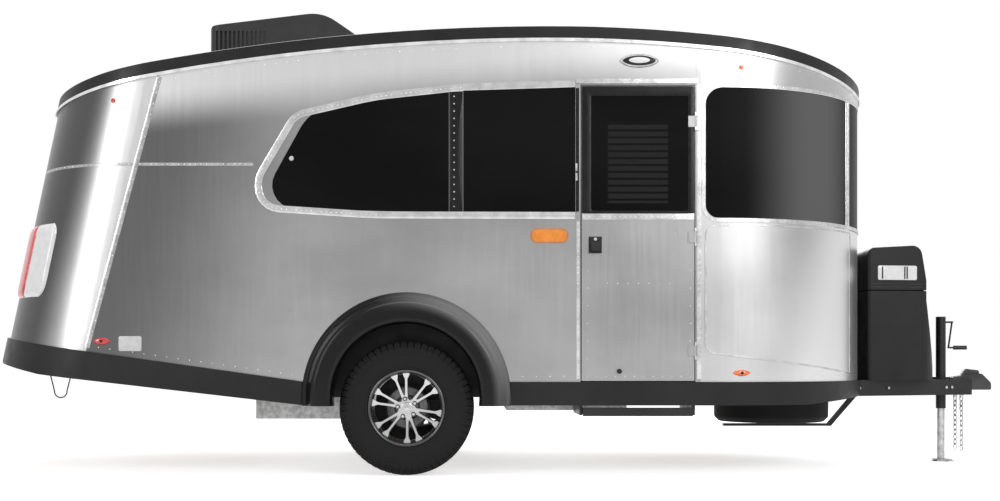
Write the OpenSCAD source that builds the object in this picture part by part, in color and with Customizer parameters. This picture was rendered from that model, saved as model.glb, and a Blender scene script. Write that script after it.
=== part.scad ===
/* [Body] */
// Length of the body from the rear bumper to the nose
body_len = 5070; // [4600:10:5600]
// Width across the side walls
body_w = 2140; // [1960:10:2260]
// Wall thickness, skin to inner lining
wall_t = 40; // [25:1:60]
// Height of the walls' lower edge over the ground
floor_z = 513; // [480:1:560]
// Floor thickness
floor_t = 38; // [24:1:50]
// How far the lower edge climbs at the very back
rear_rise = 250; // [150:5:300]
// Lean of the rear wall in degrees
rear_rake = 12; // [6:1:14]
// Plan radius of the rear corners
rear_r = 600; // [450:10:700]
// Plan radius of the nose
nose_r = 1000; // [800:10:1010]
// Distance from the back to the rear panel seam, at floor height
rear_seam = 610; // [590:10:680]

/* [Roof] */
// Height of the roof's crest over the ground
roof_top_z = 2455; // [2400:5:2520]
// Distance from the back to the crest
crest_x = 3150; // [2900:10:3300]
// Radius of the roof's curve behind the crest
roof_rear_r = 12500; // [11000:100:14000]
// Radius of the roof's curve ahead of the crest
roof_front_r = 8500; // [7500:100:10500]
// Roof thickness
roof_t = 72; // [56:1:84]
// How far the gutter stands out from the walls
gutter_out = 16; // [8:1:24]
// Height of the gutter's face
gutter_h = 34; // [20:1:50]

/* [Sills] */
// Height of the black sill moulding
sill_h = 128; // [100:1:140]
// How far the moulding stands out from the walls
sill_out = 18; // [10:1:30]
// Thickness of the moulding
sill_t = 30; // [20:1:36]

/* [Windows] */
// Height of the window band's lower edge over the ground
glass_z = 1432; // [1400:2:1480]
// Height of the front windows' upper edge over the ground
glass_top_z = 2120; // [2060:2:2124]
// Thickness of the panes
glass_t = 8; // [5:1:12]
// Width of the bright window trim
trim_w = 24; // [14:1:34]
// How far the trim stands out from the skin
trim_out = 4; // [2:0.5:6]
// Angle of the front pillar, seen from above, off the side wall's normal
pillar_deg = 54; // [48:1:60]
// Width of the front pillar
pillar_w = 60; // [40:1:80]

/* [Doors] */
// Distance from the back to the door opening
door_x = 3303; // [3250:1:3350]
// Width of the door opening
door_w = 627; // [560:1:640]
// Height of the door opening
door_h = 1622; // [1560:1:1640]
// Gap round the door and the rear hatch
door_gap = 6; // [5:0.5:8]
// How far a hinge pin stands off the skin
hinge_off = 9; // [7:0.5:14]
// Radius of the hinge barrels
hinge_r = 7; // [5:0.5:7]
// Width of the rear hatch
hatch_w = 860; // [700:10:900]
// Height of the rear hatch along the wall
hatch_h = 1130; // [1000:10:1180]

/* [Wheels] */
// Distance from the back to the axle
axle_x = 2353; // [2250:5:2450]
// Tyre diameter
tyre_d = 740; // [700:2:750]
// Tyre width
tyre_w = 235; // [205:5:245]
// Rim flange diameter
rim_d = 425; // [400:1:440]
// Distance between the tyres' outer faces
wheel_span = 2166; // [2140:2:2180]
// Radius of the wheel opening
arch_r = 404; // [395:1:420]
// Outer radius of the wheel flare
flare_r = 570; // [540:2:590]
// How far the flare stands out from the wall
flare_out = 92; // [70:1:110]
// Spokes in a rim, set in pairs
spokes = 12; // [8:2:14]
// Angle between a pair's middle line and each of its spokes
spoke_splay = 11; // [6:1:12]

/* [Chassis] */
// Height of the chassis rails
rail_h = 96; // [80:1:110]
// Width of the chassis rails
rail_w = 50; // [40:1:60]
// Distance between the rails' centres
rail_gap = 1180; // [1000:10:1300]
// Distance from the nose to the coupler's tip
hitch_len = 890; // [800:10:1000]
// Diameter of the axle tube
axle_d = 76; // [60:1:90]
// Length of the axle's trailing arms
arm_len = 150; // [120:5:180]
// Distance from the coupler's tip to the jack
jack_back = 300; // [260:5:340]
// Diameter of the jack's post
jack_d = 60; // [50:1:70]
// Height of the jack's head over the ground
jack_top_z = 905; // [850:5:950]
// Diameter of the ball that the coupler takes
ball_d = 50.8; // [50.8:0.1:60]
// Links in each safety chain
chain_links = 11; // [8:1:11]

/* [Gas locker] */
// Depth of the locker, front to back
locker_l = 440; // [400:5:460]
// Width of the locker
locker_w = 760; // [680:10:860]
// Height of the locker's top over the ground
locker_top_z = 1325; // [1280:5:1350]
// Height of the lid's seam over the ground
locker_seam_z = 1052; // [1000:2:1080]
// Wall of the locker
locker_t = 6; // [4:0.5:10]

/* [Entry step] */
// Width of the tread
step_w = 600; // [520:10:620]
// How far the step pulls out
step_travel = 240; // [180:10:260]

/* [Hidden] */
$fn = 48;
round_fn = 256;
rear_turn = 0.58;
fillet_n = 7;
joint_gap = 0.3;
// Step where the leaning rear half of the roof's edge meets the upright front half
half_step = 0.2;
socket_l = 45;
wall_turn = 0.2;
half_w = body_w / 2;
total_len = body_len + hitch_len;
x_back = -total_len / 2;
x_wall = x_back + sill_out;
x_nose = x_back + body_len;
x_tip = x_nose + hitch_len;
x_axle = x_back + axle_x;
x_crest = x_back + crest_x;
x_door = x_back + door_x;
x_door_end = x_door + door_w;
x_seam = x_door_end + 30;
x_mid = x_axle + 300;
axle_z = tyre_d / 2;
flare_z = 432;
x_kink = x_axle - flare_r + 20;
rise_len = x_kink - x_wall;
rise_deg = atan(rear_rise / rise_len);
wall_top_z = roof_top_z - roof_t;
pillar_x = x_nose - nose_r + nose_r * sin(pillar_deg);
pillar_y = half_w - nose_r + nose_r * cos(pillar_deg);
skirt_z = floor_z - sill_h;
rail_z = floor_z - rail_h;
tow_z = rail_z;
tow_h = rail_h - joint_gap;
x_jack = x_tip - jack_back;
tow_x0 = x_nose - 620;
tow_x1 = x_tip - 130;
tow_y1 = 40;
tow_yaw = atan((rail_gap / 2 - tow_y1) / (tow_x1 - tow_x0));
x_lock = x_nose + 16;
lid_off = hinge_r + 2;
lid_x = x_lock + locker_l - 70 + lid_off;
wheel_y = wheel_span / 2 - tyre_w / 2;
big = 4000;
hinge_z = [140, 760, 1390];
hatch_hinge_y = [-280, 280];
lid_hinge_y = [-220, 220];
barrel_l = 60;
knuckle_l = 18;

// Points of a closed outline whose corners are rounded; each row is [x, y, corner radius]
function corner(a, p, b, r) = r == 0 ? [p] : let(
    u = (a - p) / norm(a - p),
    v = (b - p) / norm(b - p),
    h = acos(u * v) / 2,
    c = p + (u + v) / norm(u + v) * r / sin(h),
    s = p + u * r / tan(h) - c,
    e = p + v * r / tan(h) - c,
    a0 = atan2(s[1], s[0]),
    turn = (atan2(e[1], e[0]) - a0 + 540) % 360 - 180)
    [for (i = [0 : fillet_n]) c + r * [cos(a0 + turn * i / fillet_n), sin(a0 + turn * i / fillet_n)]];
function xy(row) = [row[0], row[1]];
function rounded(rows) = let(n = len(rows)) [for (i = [0 : n - 1], q = corner(
    xy(rows[(i + n - 1) % n]), xy(rows[i]), xy(rows[(i + 1) % n]), rows[i][2])) q];

// Height of the roof's curve at x, drop below the skin
function roof_z(x, drop) = let(r = (x < x_crest ? roof_rear_r : roof_front_r) - drop, d = x - x_crest)
    roof_top_z - drop - r + sqrt(r * r - d * d);
function tow_y(x) = tow_y1 + (tow_x1 - x) * tan(tow_yaw);
function sill_z(x) = x > x_kink ? floor_z : floor_z + (x_kink - x) * tan(rise_deg);

// An outline in x and z, extruded from y0 to y1
module across(y0, y1) {
    translate([0, y1, 0]) rotate([90, 0, 0]) linear_extrude(y1 - y0) children();
}

// Solid under the roof's curve and over the sill line
module under_roof(drop, low, turn = rear_turn) {
    intersection() {
        across(-big, big) union() {
            intersection() {
                translate([x_crest, roof_top_z - roof_rear_r]) rotate(turn) circle(roof_rear_r - drop, $fn = round_fn);
                translate([x_back - 400, 0]) square([x_crest - x_back + 400, big]);
            }
            intersection() {
                translate([x_crest, roof_top_z - roof_front_r]) circle(roof_front_r - drop, $fn = round_fn);
                translate([x_crest, 0]) square([x_tip - x_crest, big]);
            }
        }
        across(-big, big) polygon([[x_back - 400, sill_z(x_back - 400) + low], [x_kink, floor_z + low],
            [x_tip, floor_z + low], [x_tip, big], [x_back - 400, big]]);
    }
}

// Half outline of the body in plan, from x_mid to one end, with round corners
module plan_end(len, r, grow) {
    w = half_w + grow;
    q = r + grow;
    l = len + grow;
    difference() {
        translate([0, -w]) square([l, 2 * w]);
        for (s = [-1, 1]) difference() {
            translate([l - q, s > 0 ? w - q : -w]) square([q, q]);
            translate([l - q, s * (w - q)]) circle(q, $fn = round_fn);
        }
    }
}

// Front half of the body's outline, upright
module nose_block(grow) {
    translate([x_mid, 0, 0]) linear_extrude(big) plan_end(x_nose - x_mid, nose_r, grow);
}

// Rear half of the body's outline, leaning with the rear wall
module rear_block(grow) {
    intersection() {
        translate([x_wall, 0, floor_z + rear_rise]) rotate([0, rear_rake, 0]) translate([0, 0, -1200])
            linear_extrude(big) translate([x_mid - x_wall, 0]) mirror([1, 0]) plan_end(x_mid - x_wall, rear_r, grow);
        translate([x_back - 600, -big / 2, 0]) cube([x_mid - x_back + 600, big, big]);
    }
}

// What lies behind the slanted rear seam
module behind_seam() {
    across(-big / 2, big / 2) polygon([for (p = [[-600, -1000], [0, -1000], [0, 2500], [-1500, 2500], [-1500, -1000]])
        [x_back + rear_seam + (p[0] == 0 ? p[1] * tan(rear_rake) : p[0] + p[1] * tan(rear_rake)), floor_z + p[1]]]);
}

module ring_wall(low) {
    intersection() {
        difference() {
            union() {
                nose_block(0);
                rear_block(0);
            }
            nose_block(-wall_t);
            rear_block(-wall_t);
            translate([x_mid - 50, wall_t - half_w, 0]) cube([100, body_w - 2 * wall_t, big]);
        }
        under_roof(roof_t, low, wall_turn);
    }
}

// Outlines of the side windows in x and z; rows are [x, z, corner radius]
quarter_rows = [[x_door - 718, glass_z + 4, 8], [x_door - 718, 2118, 8], [x_door - 1474, 1998, 230],
    [x_door - 1770, 1462, 130]];
centre_rows = [[x_door - 28, glass_z, 8], [x_door - 28, 2132, 8], [x_door - 640, 2124, 8],
    [x_door - 640, glass_z, 8]];
nose_side_rows = [[x_seam + 26, glass_z - 24, 70], [x_seam + 26, glass_top_z, 90],
    [pillar_x - pillar_w / 3, glass_top_z, 8], [pillar_x - pillar_w / 3, glass_z - 24, 8]];

// Outline grown by the trim's width, as rows
function grown(rows, d) = let(n = len(rows), m = [for (i = [0 : 1]) (min([for (r = rows) r[i]]) + max([for (r = rows) r[i]])) / 2])
    [for (r = rows) [r[0] + (r[0] > m[0] ? d : -d), r[1] + (r[1] > m[1] ? d : -d), r[2] + d / 2]];

module nose_pane_block(rows, side) {
    y_in = half_w - nose_r;
    across(side > 0 ? y_in : -half_w - 100, side > 0 ? half_w + 100 : -y_in) polygon(rounded(rows));
}

module nose_front_block(d) {
    y = pillar_y - pillar_w / 3 + d;
    translate([x_nose - nose_r / 2, -y, glass_z - 24 - d]) cube([nose_r, 2 * y, glass_top_z - glass_z + 24 + 2 * d]);
}

// Wall pieces
module side_slab(s) {
    y0 = s > 0 ? half_w - wall_t : -half_w;
    difference() {
        intersection() {
            under_roof(roof_t, 0);
            translate([x_back, y0, 0]) cube([x_seam - x_back, wall_t, big]);
        }
        behind_seam();
        across(-big / 2, big / 2) translate([x_axle, flare_z]) circle(arch_r + 60, $fn = 128);
    }
}

module door_side_wall() {
    color("silver") difference() {
        side_slab(-1);
        across(-half_w - 10, 0) polygon(rounded(quarter_rows));
        across(-half_w - 10, 0) polygon(rounded(centre_rows));
        translate([x_door, -half_w - 10, 0]) cube([door_w, wall_t + 20, floor_z + door_h]);
    }
}

module far_side_wall() {
    color("silver") difference() {
        side_slab(1);
        across(0, half_w + 10) polygon(rounded(quarter_rows));
        across(0, half_w + 10) polygon(rounded(centre_rows));
    }
}

module in_rear_wall() {
    translate([x_wall, 0, floor_z + rear_rise]) rotate([0, rear_rake, 0]) children();
}

hatch_low = 60;
module hatch_slab(d, x0, x1) {
    in_rear_wall() translate([x0, -hatch_w / 2 - d, hatch_low - d]) cube([x1 - x0, hatch_w + 2 * d, hatch_h + 2 * d]);
}

module rear_wall() {
    color("silver") difference() {
        intersection() {
            ring_wall(0);
            behind_seam();
        }
        hatch_slab(door_gap, -20, wall_t + 40);
    }
}

module nose_wall() {
    color("silver") difference() {
        intersection() {
            ring_wall(0);
            translate([x_seam, -big / 2, 0]) cube([big, big, big]);
        }
        for (s = [-1, 1]) nose_pane_block(nose_side_rows, s);
        nose_front_block(0);
    }
}

module roof_panel() {
    color("gainsboro") difference() {
        intersection() {
            under_roof(0, 0);
            union() {
                nose_block(0);
                rear_block(-half_step);
            }
        }
        under_roof(roof_t, -100);
    }
}

// A band round the roof's edge, between two drops below the skin
module roof_band(top, low, out) {
    intersection() {
        difference() {
            under_roof(top, -100);
            under_roof(low, -200);
        }
        difference() {
            union() {
                nose_block(out);
                rear_block(out - half_step);
            }
            nose_block(joint_gap);
            rear_block(joint_gap + half_step);
            translate([x_mid - 50, -half_w - joint_gap, 0]) cube([100, body_w + 2 * joint_gap, big]);
        }
    }
}

module gutter_rail() { color("silver") roof_band(roof_t - 4, roof_t - 4 + gutter_h / 2, gutter_out); }
module roof_edge() { color("#222222") roof_band(4, roof_t - 4 - joint_gap, gutter_out * 0.6); }

module floor_panel() {
    color("tan") intersection() {
        under_roof(roof_t, 0);
        difference() {
            union() {
                nose_block(-wall_t - joint_gap);
                rear_block(-wall_t - joint_gap);
            }
            under_roof(roof_t - 1, floor_t);
            for (s = [-1, 1]) wheel_box_space(s, 0);
        }
    }
}

module wheel_box_space(s, d) {
    y0 = wheel_y - tyre_w / 2 - 40 - d;
    across(s > 0 ? y0 : -half_w, s > 0 ? half_w : -y0) difference() {
        translate([x_axle, flare_z]) circle(arch_r + 60 + d, $fn = 128);
        translate([x_axle - 800, -200]) square([1600, 300]);
    }
}

module wheel_boxes() {
    color("dimgray") for (s = [-1, 1]) intersection() {
        difference() {
            wheel_box_space(s, 0);
            wheel_box_space(s, -3);
        }
        translate([x_axle - 800, s > 0 ? 0 : -half_w + wall_t, floor_z - 45]) cube([1600, half_w - wall_t, 900]);
    }
}

// Sill mouldings
module skirt_ring() {
    intersection() {
        difference() {
            union() {
                nose_block(sill_out);
                rear_block(sill_out);
            }
            nose_block(sill_out - sill_t);
            rear_block(sill_out - sill_t);
            translate([x_mid - 50, sill_t - sill_out - half_w, 0]) cube([100, body_w + 2 * (sill_out - sill_t), big]);
        }
        across(-big / 2, big / 2) polygon(rounded([[x_back - 300, sill_z(x_back - 300) - joint_gap, 0],
            [x_back + 40, skirt_z + rear_rise - 20, 60], [x_back + 330, skirt_z + rear_rise * 0.68, 200],
            [x_kink, skirt_z, 0], [x_nose - 500, skirt_z, 900], [x_nose + 40, skirt_z + 46, 0],
            [x_nose + 40, floor_z - joint_gap, 0], [x_kink, floor_z - joint_gap, 0]]));
    }
}

module side_sills() {
    color("#222222") difference() {
        skirt_ring();
        behind_seam();
        across(-big / 2, big / 2) translate([x_axle, flare_z]) circle(flare_r + 1, $fn = 128);
        tow_beams(4);
    }
}

module rear_bumper() {
    color("#222222") intersection() {
        skirt_ring();
        behind_seam();
    }
}

// Wheel flare: profile rows are [radius, stand-off, corner radius], turned about the wheel's opening
module wheel_flares() {
    rows = [[flare_r, joint_gap, 0], [flare_r, 14, 5], [flare_r - 22, 18, 8], [flare_r - 60, flare_out - 8, 40],
        [arch_r + 8, flare_out, 24], [arch_r - 6, flare_out - 40, 0], [arch_r - 6, -wall_t, 0], [arch_r + 2, -wall_t, 0],
        [arch_r + 2, flare_out - 44, 10], [arch_r + 14, flare_out - 10, 18], [flare_r - 66, flare_out - 20, 34],
        [flare_r - 34, joint_gap, 0]];
    color("#1c1c1c") for (s = [-1, 1]) intersection() {
        translate([x_axle, s * half_w, flare_z]) rotate([s > 0 ? -90 : 90, 0, 0])
            rotate_extrude($fn = 128) polygon(rounded(rows));
        translate([x_axle - 700, -big / 2, skirt_z - 2]) cube([1400, big, 900]);
    }
}

// Window trim: a thin band round each opening
module trim_band(rows, s) {
    across(s > 0 ? half_w + joint_gap : -half_w - trim_out, s > 0 ? half_w + trim_out : -half_w - joint_gap) difference() {
        polygon(rounded(grown(rows, trim_w)));
        polygon(rounded(rows));
    }
}

module window_trim() {
    color("whitesmoke") {
        for (s = [-1, 1], rows = [quarter_rows, centre_rows]) trim_band(rows, s);
        intersection() {
            difference() {
                nose_block(trim_out);
                nose_block(joint_gap);
            }
            union() {
                for (s = [-1, 1]) difference() {
                    nose_pane_block(grown(nose_side_rows, trim_w), s);
                    nose_pane_block(nose_side_rows, s);
                    nose_front_block(trim_w);
                }
                difference() {
                    nose_front_block(trim_w);
                    nose_front_block(0);
                }
            }
        }
    }
}

module pane(rows, s) {
    y = half_w - glass_t;
    across(s > 0 ? y : -half_w, s > 0 ? half_w : -y) polygon(rounded(rows));
}

module side_glass() {
    color("black") for (s = [-1, 1], rows = [quarter_rows, centre_rows]) pane(rows, s);
}

module nose_glass() {
    color("black") intersection() {
        difference() {
            nose_block(0);
            nose_block(-glass_t);
        }
        union() {
            for (s = [-1, 1]) nose_pane_block(nose_side_rows, s);
            nose_front_block(0);
        }
    }
}

// Stone guards on the lower front corners
module stone_guards() {
    rows = [[x_seam + 26, floor_z + 160, 60], [x_seam + 26, glass_z - 24 - trim_w - 16, 60],
        [pillar_x + 20, glass_z - 24 - trim_w - 16, 8], [pillar_x + 20, floor_z + 40, 8]];
    color("lightgray") intersection() {
        difference() {
            nose_block(3);
            nose_block(joint_gap);
        }
        for (s = [-1, 1]) nose_pane_block(rows, s);
    }
}

// Roof cooler: a moulded hood with slots in its flanks
cooler_w = 690;
cooler_l = 960;
cooler_x = x_back + 1130;
module roof_cooler() {
    top = roof_top_z + 280;
    seat = [for (i = [4 : -1 : 0]) [cooler_x + cooler_l * i / 4, roof_z(cooler_x + cooler_l * i / 4, 0) + 0.7, 0]];
    color("#333333") difference() {
        intersection() {
            across(-cooler_w / 2, cooler_w / 2) polygon(rounded(concat([[cooler_x, top - 90, 26],
                [cooler_x + 680, top, 240], [cooler_x + cooler_l, top - 190, 60]], seat)));
            translate([0, 0, 2200]) linear_extrude(big) polygon(rounded([[cooler_x, -cooler_w / 2, 60],
                [cooler_x + cooler_l, -cooler_w / 2 + 40, 120], [cooler_x + cooler_l, cooler_w / 2 - 40, 120],
                [cooler_x, cooler_w / 2, 60]]));
        }
        for (i = [0 : 11], s = [-1, 1])
            translate([cooler_x + 40 + 26 * i, s * cooler_w / 2 - 18, top - 260]) cube([13, 36, 140]);
    }
}

// Chassis
// A point on the rails' rising tail, a distance up the slope and a drop below its top
function on_rise(d, drop) = [x_kink - d * cos(rise_deg) - drop * sin(rise_deg),
    floor_z - joint_gap + d * sin(rise_deg) - drop * cos(rise_deg)];

module chassis_rails() {
    x1 = tow_x0;
    top = floor_z - joint_gap;
    color("#2a2a2a") {
        for (s = [-1, 1]) across(s * rail_gap / 2 - rail_w / 2, s * rail_gap / 2 + rail_w / 2)
            polygon([[x1, top], [x_kink, top], on_rise(rise_len - 420, 0), on_rise(rise_len - 420, rail_h),
                [x_kink - rail_h * tan(rise_deg / 2), top - rail_h], [x1, top - rail_h]]);
        for (x = [x_axle - 460, x_axle + 640, x_door + 300, x1 - 80])
            translate([x, -rail_gap / 2 + rail_w / 2, rail_z + 20]) cube([40, rail_gap - rail_w, rail_h - 40]);
        translate([x_back + 560, -rail_gap / 2 + rail_w / 2, sill_z(x_back + 560) - rail_h + 20])
            cube([40, rail_gap - rail_w, 60]);
    }
}

module tow_beams(g) {
    intersection() {
        for (s = [-1, 1]) translate([tow_x1, s * tow_y1, tow_z - g]) rotate([0, 0, 180 - s * tow_yaw])
            translate([-60, -rail_w / 2 - g, 0]) cube([(tow_x1 - tow_x0) / cos(tow_yaw) + 160, rail_w + 2 * g, tow_h + 2 * g]);
        translate([tow_x0, -big / 2, 0]) cube([tow_x1 - tow_x0, big, big]);
    }
}

module tow_frame() {
    color("#2a2a2a") {
        tow_beams(0);
        difference() {
            translate([x_jack - 60, -80, tow_z + 6]) cube([120, 160, tow_h - 12]);
            translate([x_jack, 0, tow_z]) cylinder(h = tow_h, d = jack_d + 2 * joint_gap);
        }
        translate([x_nose + 30, -310, tow_z + 10]) cube([50, 620, tow_h - 30]);
    }
}

module coupler() {
    color("#303030") difference() {
        union() {
            across(-42, 42) polygon(rounded([[x_tip - 240, tow_z + tow_h, 0], [x_tip - 120, tow_z + tow_h, 0],
                [x_tip - 120, tow_z + 30, 0], [x_tip, tow_z + 30, 10], [x_tip, tow_z + 74, 30],
                [x_tip - 60, tow_z + tow_h + 38, 30], [x_tip - 240, tow_z + tow_h + 14, 8]]));
            across(-14, 14) polygon(rounded([[x_tip - 190, tow_z + tow_h + 10, 0], [x_tip - 60, tow_z + tow_h + 10, 0],
                [x_tip - 66, tow_z + tow_h + 56, 12], [x_tip - 150, tow_z + tow_h + 66, 14]]));
        }
        translate([x_tip - 46, 0, tow_z + 29]) cylinder(h = socket_l + 1, d = ball_d + 1.2, $fn = 64);
    }
}

// Jack
jack_in = jack_d - 12;
module jack_post() {
    color("#2a2a2a") difference() {
        union() {
            translate([x_jack, 0, 330]) cylinder(h = jack_top_z - 330, d = jack_d);
            translate([x_jack, 0, tow_z + tow_h]) cylinder(h = 14, d = 110);
        }
        translate([x_jack, 0, 329]) cylinder(h = jack_top_z - 360, d = jack_in + 2);
    }
}

module jack_leg() {
    color("silver") {
        translate([x_jack, 0, 10]) cylinder(h = 480, d = jack_in);
        translate([x_jack, 0, 0]) cylinder(h = 14, d1 = 160, d2 = 130);
    }
}

module jack_crank() {
    x = x_jack + jack_d / 2 + joint_gap;
    color("#2a2a2a") {
        translate([x, 0, jack_top_z - 34]) rotate([0, 90, 0]) cylinder(h = 46, d = 12);
        translate([x + 40, 0, jack_top_z - 34]) rotate([0, 8, 0]) translate([0, 0, -165]) cylinder(h = 171, d = 11);
        translate([x + 16, 0, jack_top_z - 194]) rotate([0, 90, 0]) cylinder(h = 110, d = 11);
        translate([x + 50, 0, jack_top_z - 194]) rotate([0, 90, 0]) cylinder(h = 80, d = 26);
    }
}

// A chain link, its long axis upright, turned by a quarter from one to the next
link_p = 30.4;
link_d = 8;
module link() {
    rotate([90, 0, 0]) {
        for (s = [-1, 1]) {
            translate([0, s * 9, 0]) rotate_extrude(angle = s * 180, $fn = 12) translate([10, 0]) circle(link_d / 2, $fn = 5);
            translate([s * 10, 9, 0]) rotate([90, 0, 0]) cylinder(h = 18, d = link_d, $fn = 5);
        }
    }
}

module safety_chains() {
    lug_h = 16;
    color("gray") for (s = [-1, 1]) translate([x_tip - 190, s * 52, tow_z - joint_gap]) {
        translate([-8, -14, -lug_h]) cube([16, 28, lug_h]);
        for (i = [0 : chain_links - 1]) translate([0, 0, -lug_h - 10 - link_p * i])
            rotate([0, 0, 90 * (i % 2) + 20]) link();
    }
}

// Running gear
module axle_beam() {
    color("#2a2a2a") {
        translate([x_axle + arm_len, -rail_gap / 2 - 130, axle_z - 20]) rotate([-90, 0, 0])
            cylinder(h = rail_gap + 260, d = axle_d);
        for (s = [-1, 1]) translate([x_axle + arm_len - 70, s * rail_gap / 2 - 30, axle_z + 10])
            cube([140, 60, rail_z - axle_z - 10 - joint_gap]);
    }
}

module trailing_arms() {
    color("#383838") for (s = [-1, 1]) {
        difference() {
            union() {
                translate([x_axle, s * (rail_gap / 2 + 140), axle_z]) rotate([90, 0, 0]) cylinder(h = 40, d = 90, center = true);
                translate([x_axle + arm_len, s * (rail_gap / 2 + 140), axle_z - 20]) rotate([90, 0, 0])
                    cylinder(h = 40, d = 110, center = true);
                translate([x_axle, s * (rail_gap / 2 + 140) - 20, axle_z - 45]) cube([arm_len, 40, 80]);
                translate([x_axle, s * (rail_gap / 2 + 160), axle_z]) rotate([-s * 90, 0, 0])
                    cylinder(h = wheel_y + 38 - rail_gap / 2 - 160, d = 44);
            }
            translate([x_axle + arm_len, 0, axle_z - 20]) rotate([90, 0, 0])
                cylinder(h = rail_gap + 260.6, d = axle_d + 0.6, center = true);
        }
    }
}

// Wheel: rows are [radius, offset along the axle, corner radius]
module tyre(s) {
    r = tyre_d / 2;
    rr = rim_d / 2;
    w = tyre_w / 2;
    rows = [[r, -w * 0.8, 14], [r, w * 0.8, 14], [r - 30, w * 0.97, 30], [rr + 50, w, 40], [rr + 1, w * 0.9, 4], [rr + 1, w * 0.78, 0],
        [rr - 14, w * 0.78, 0], [rr - 14, -w * 0.78, 0], [rr + 1, -w * 0.78, 0], [rr + 1, -w * 0.9, 4], [rr + 50, -w, 40], [r - 30, -w * 0.97, 30]];
    color("#181818") translate([x_axle, s * wheel_y, axle_z]) rotate([90, 0, 0])
        rotate_extrude($fn = 96) polygon(rounded(rows));
}

module rim(s) {
    rr = rim_d / 2;
    w = tyre_w / 2;
    barrel = [[rr - 14.3, -w * 0.76, 0], [rr - 14.3, w * 0.785, 0], [rr - 3, w * 0.82, 0], [rr - 3, w * 0.87, 0],
        [rr - 20, w * 0.84, 4], [rr - 26, w * 0.6, 6], [rr - 24, -w * 0.76, 0]];
    hub = [[23, -70, 0], [82, -70, 4], [82, 10, 6], [62, 34, 8], [34, 44, 4], [32, 66, 4], [0, 68, 0], [0, 45, 0], [23, 40, 0]];
    color("silver") translate([x_axle, s * wheel_y, axle_z]) rotate([s > 0 ? -90 : 90, 0, 0]) {
        rotate_extrude($fn = 96) polygon(rounded(barrel));
        rotate_extrude($fn = 64) polygon(rounded(hub));
        for (i = [0 : spokes / 2 - 1], t = [-1, 1]) rotate([0, 0, 720 / spokes * (i + 0.5)])
            translate([60, t * 9, 0]) rotate([90, 0, t * spoke_splay]) translate([0, 0, -8])
                linear_extrude(16) polygon([[8, 4], [rr - 82, 34], [rr - 82, 78], [60, 58], [8, 30]]);
    }
}

module tyre_right() { tyre(-1); }
module rim_right() { rim(-1); }
module tyre_left() { tyre(1); }
module rim_left() { rim(1); }

// Spare wheel, lying flat under the front
spare_x = x_nose - 480;
spare_z = 250;
module spare_wheel() {
    r = tyre_d / 2 - 20;
    color("#181818") translate([spare_x, 0, spare_z]) rotate_extrude($fn = 96) polygon(rounded([[60, 40, 0],
        [rim_d / 2 - 20, 40, 0], [rim_d / 2, 4, 0], [r - 30, 0, 24], [r, 30, 20], [r, 130, 20], [r - 30, 158, 24],
        [rim_d / 2, 156, 0], [rim_d / 2 - 20, 60, 0], [60, 60, 0]]));
}

module spare_carrier() {
    bar = tow_y(spare_x + 30) - rail_w / 2 / cos(tow_yaw) - joint_gap;
    color("#2a2a2a") {
        translate([spare_x, 0, spare_z - 14]) cylinder(h = rail_z - spare_z + 28, d = 40);
        translate([spare_x - 300, -25, spare_z - 30.3]) cube([675, 50, 16]);
        translate([spare_x - 30, -bar, rail_z + 12]) cube([60, 2 * bar, 50]);
translate([x_nose - 125, -18, spare_z - 14.3]) rotate([0, 40.6, 0]) cube([26, 36, 251]);
    }
}

// Stabiliser legs, folded up
module stabilisers() {
    out = rail_gap / 2 + rail_w / 2 + joint_gap;
    color("#2a2a2a") for (x = [x_back + 820, x_nose - 980], s = [-1, 1])
        translate([x, s > 0 ? out : -out - 60, sill_z(x) - rail_h]) {
            translate([-90, 0, 2]) cube([180, 60, 50]);
            translate([-20, 0, -12]) cube([40, 60, 18]);
            translate([-50, -20, -28]) cube([100, 100, 16]);
        }
}

module under_tanks() {
    color("lightgray") {
        translate([x_axle - 900, -rail_gap / 2, 290]) cube([500, rail_gap, rail_z - 290 - 2 * joint_gap]);
        translate([x_axle + 560, -rail_gap / 2, 340]) cube([700, rail_gap, rail_z - 340 - 2 * joint_gap]);
    }
}

module wire_hoop() {
    x = x_back + 420;
    z = sill_z(x) - 60;
    color("#2a2a2a") translate([x, -half_w + 150, 0]) {
        for (s = [-1, 1]) translate([s * 34, 0, z - 190]) rotate([0, s * 14, 0]) cylinder(h = 236, d = 7);
        translate([0, 0, z - 188]) rotate([90, 0, 0]) rotate_extrude(angle = -180) translate([35, 0]) circle(3.5);
    }
}

// Lamps and small fittings; rows are [x, z]
module marker_lamps() {
    color("orangered") for (p = [[x_seam + 230, roof_z(x_seam + 230, roof_t) - 120], [x_seam + 160, floor_z + 60]], s = [-1, 1])
        intersection() {
            difference() {
                nose_block(12);
                nose_block(joint_gap);
            }
            nose_pane_block([[p[0] - 45, p[1] - 16, 14], [p[0] + 45, p[1] - 16, 14], [p[0] + 45, p[1] + 16, 14],
                [p[0] - 45, p[1] + 16, 14]], s);
        }
    color("firebrick") for (s = [-1, 1]) translate([x_back + rear_seam + 60, s * (half_w + joint_gap), sill_z(x_back + rear_seam + 60) + 60])
        rotate([s > 0 ? -90 : 90, 0, 0]) cylinder(h = 12, d = 40);
}

module tail_lamps() {
    color("firebrick") intersection() {
        difference() {
            rear_block(22);
            rear_block(joint_gap);
        }
        for (s = [-1, 1]) in_rear_wall() translate([-60, s > 0 ? hatch_w / 2 + 150 : -hatch_w / 2 - 150 - 260, 180])
            cube([400, 260, 420]);
    }
}

module porch_lamp() {
    color("silver") translate([x_door + 320, -half_w - joint_gap, 2250]) rotate([90, 0, 0]) cylinder(h = 26, d1 = 170, d2 = 120);
}

module side_badge() {
    color("orange") across(-half_w - 4, -half_w - joint_gap) polygon(rounded([[x_door - 275, 1270, 38], [x_door - 65, 1270, 38],
        [x_door - 65, 1352, 38], [x_door - 275, 1352, 38]]));
}

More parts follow.
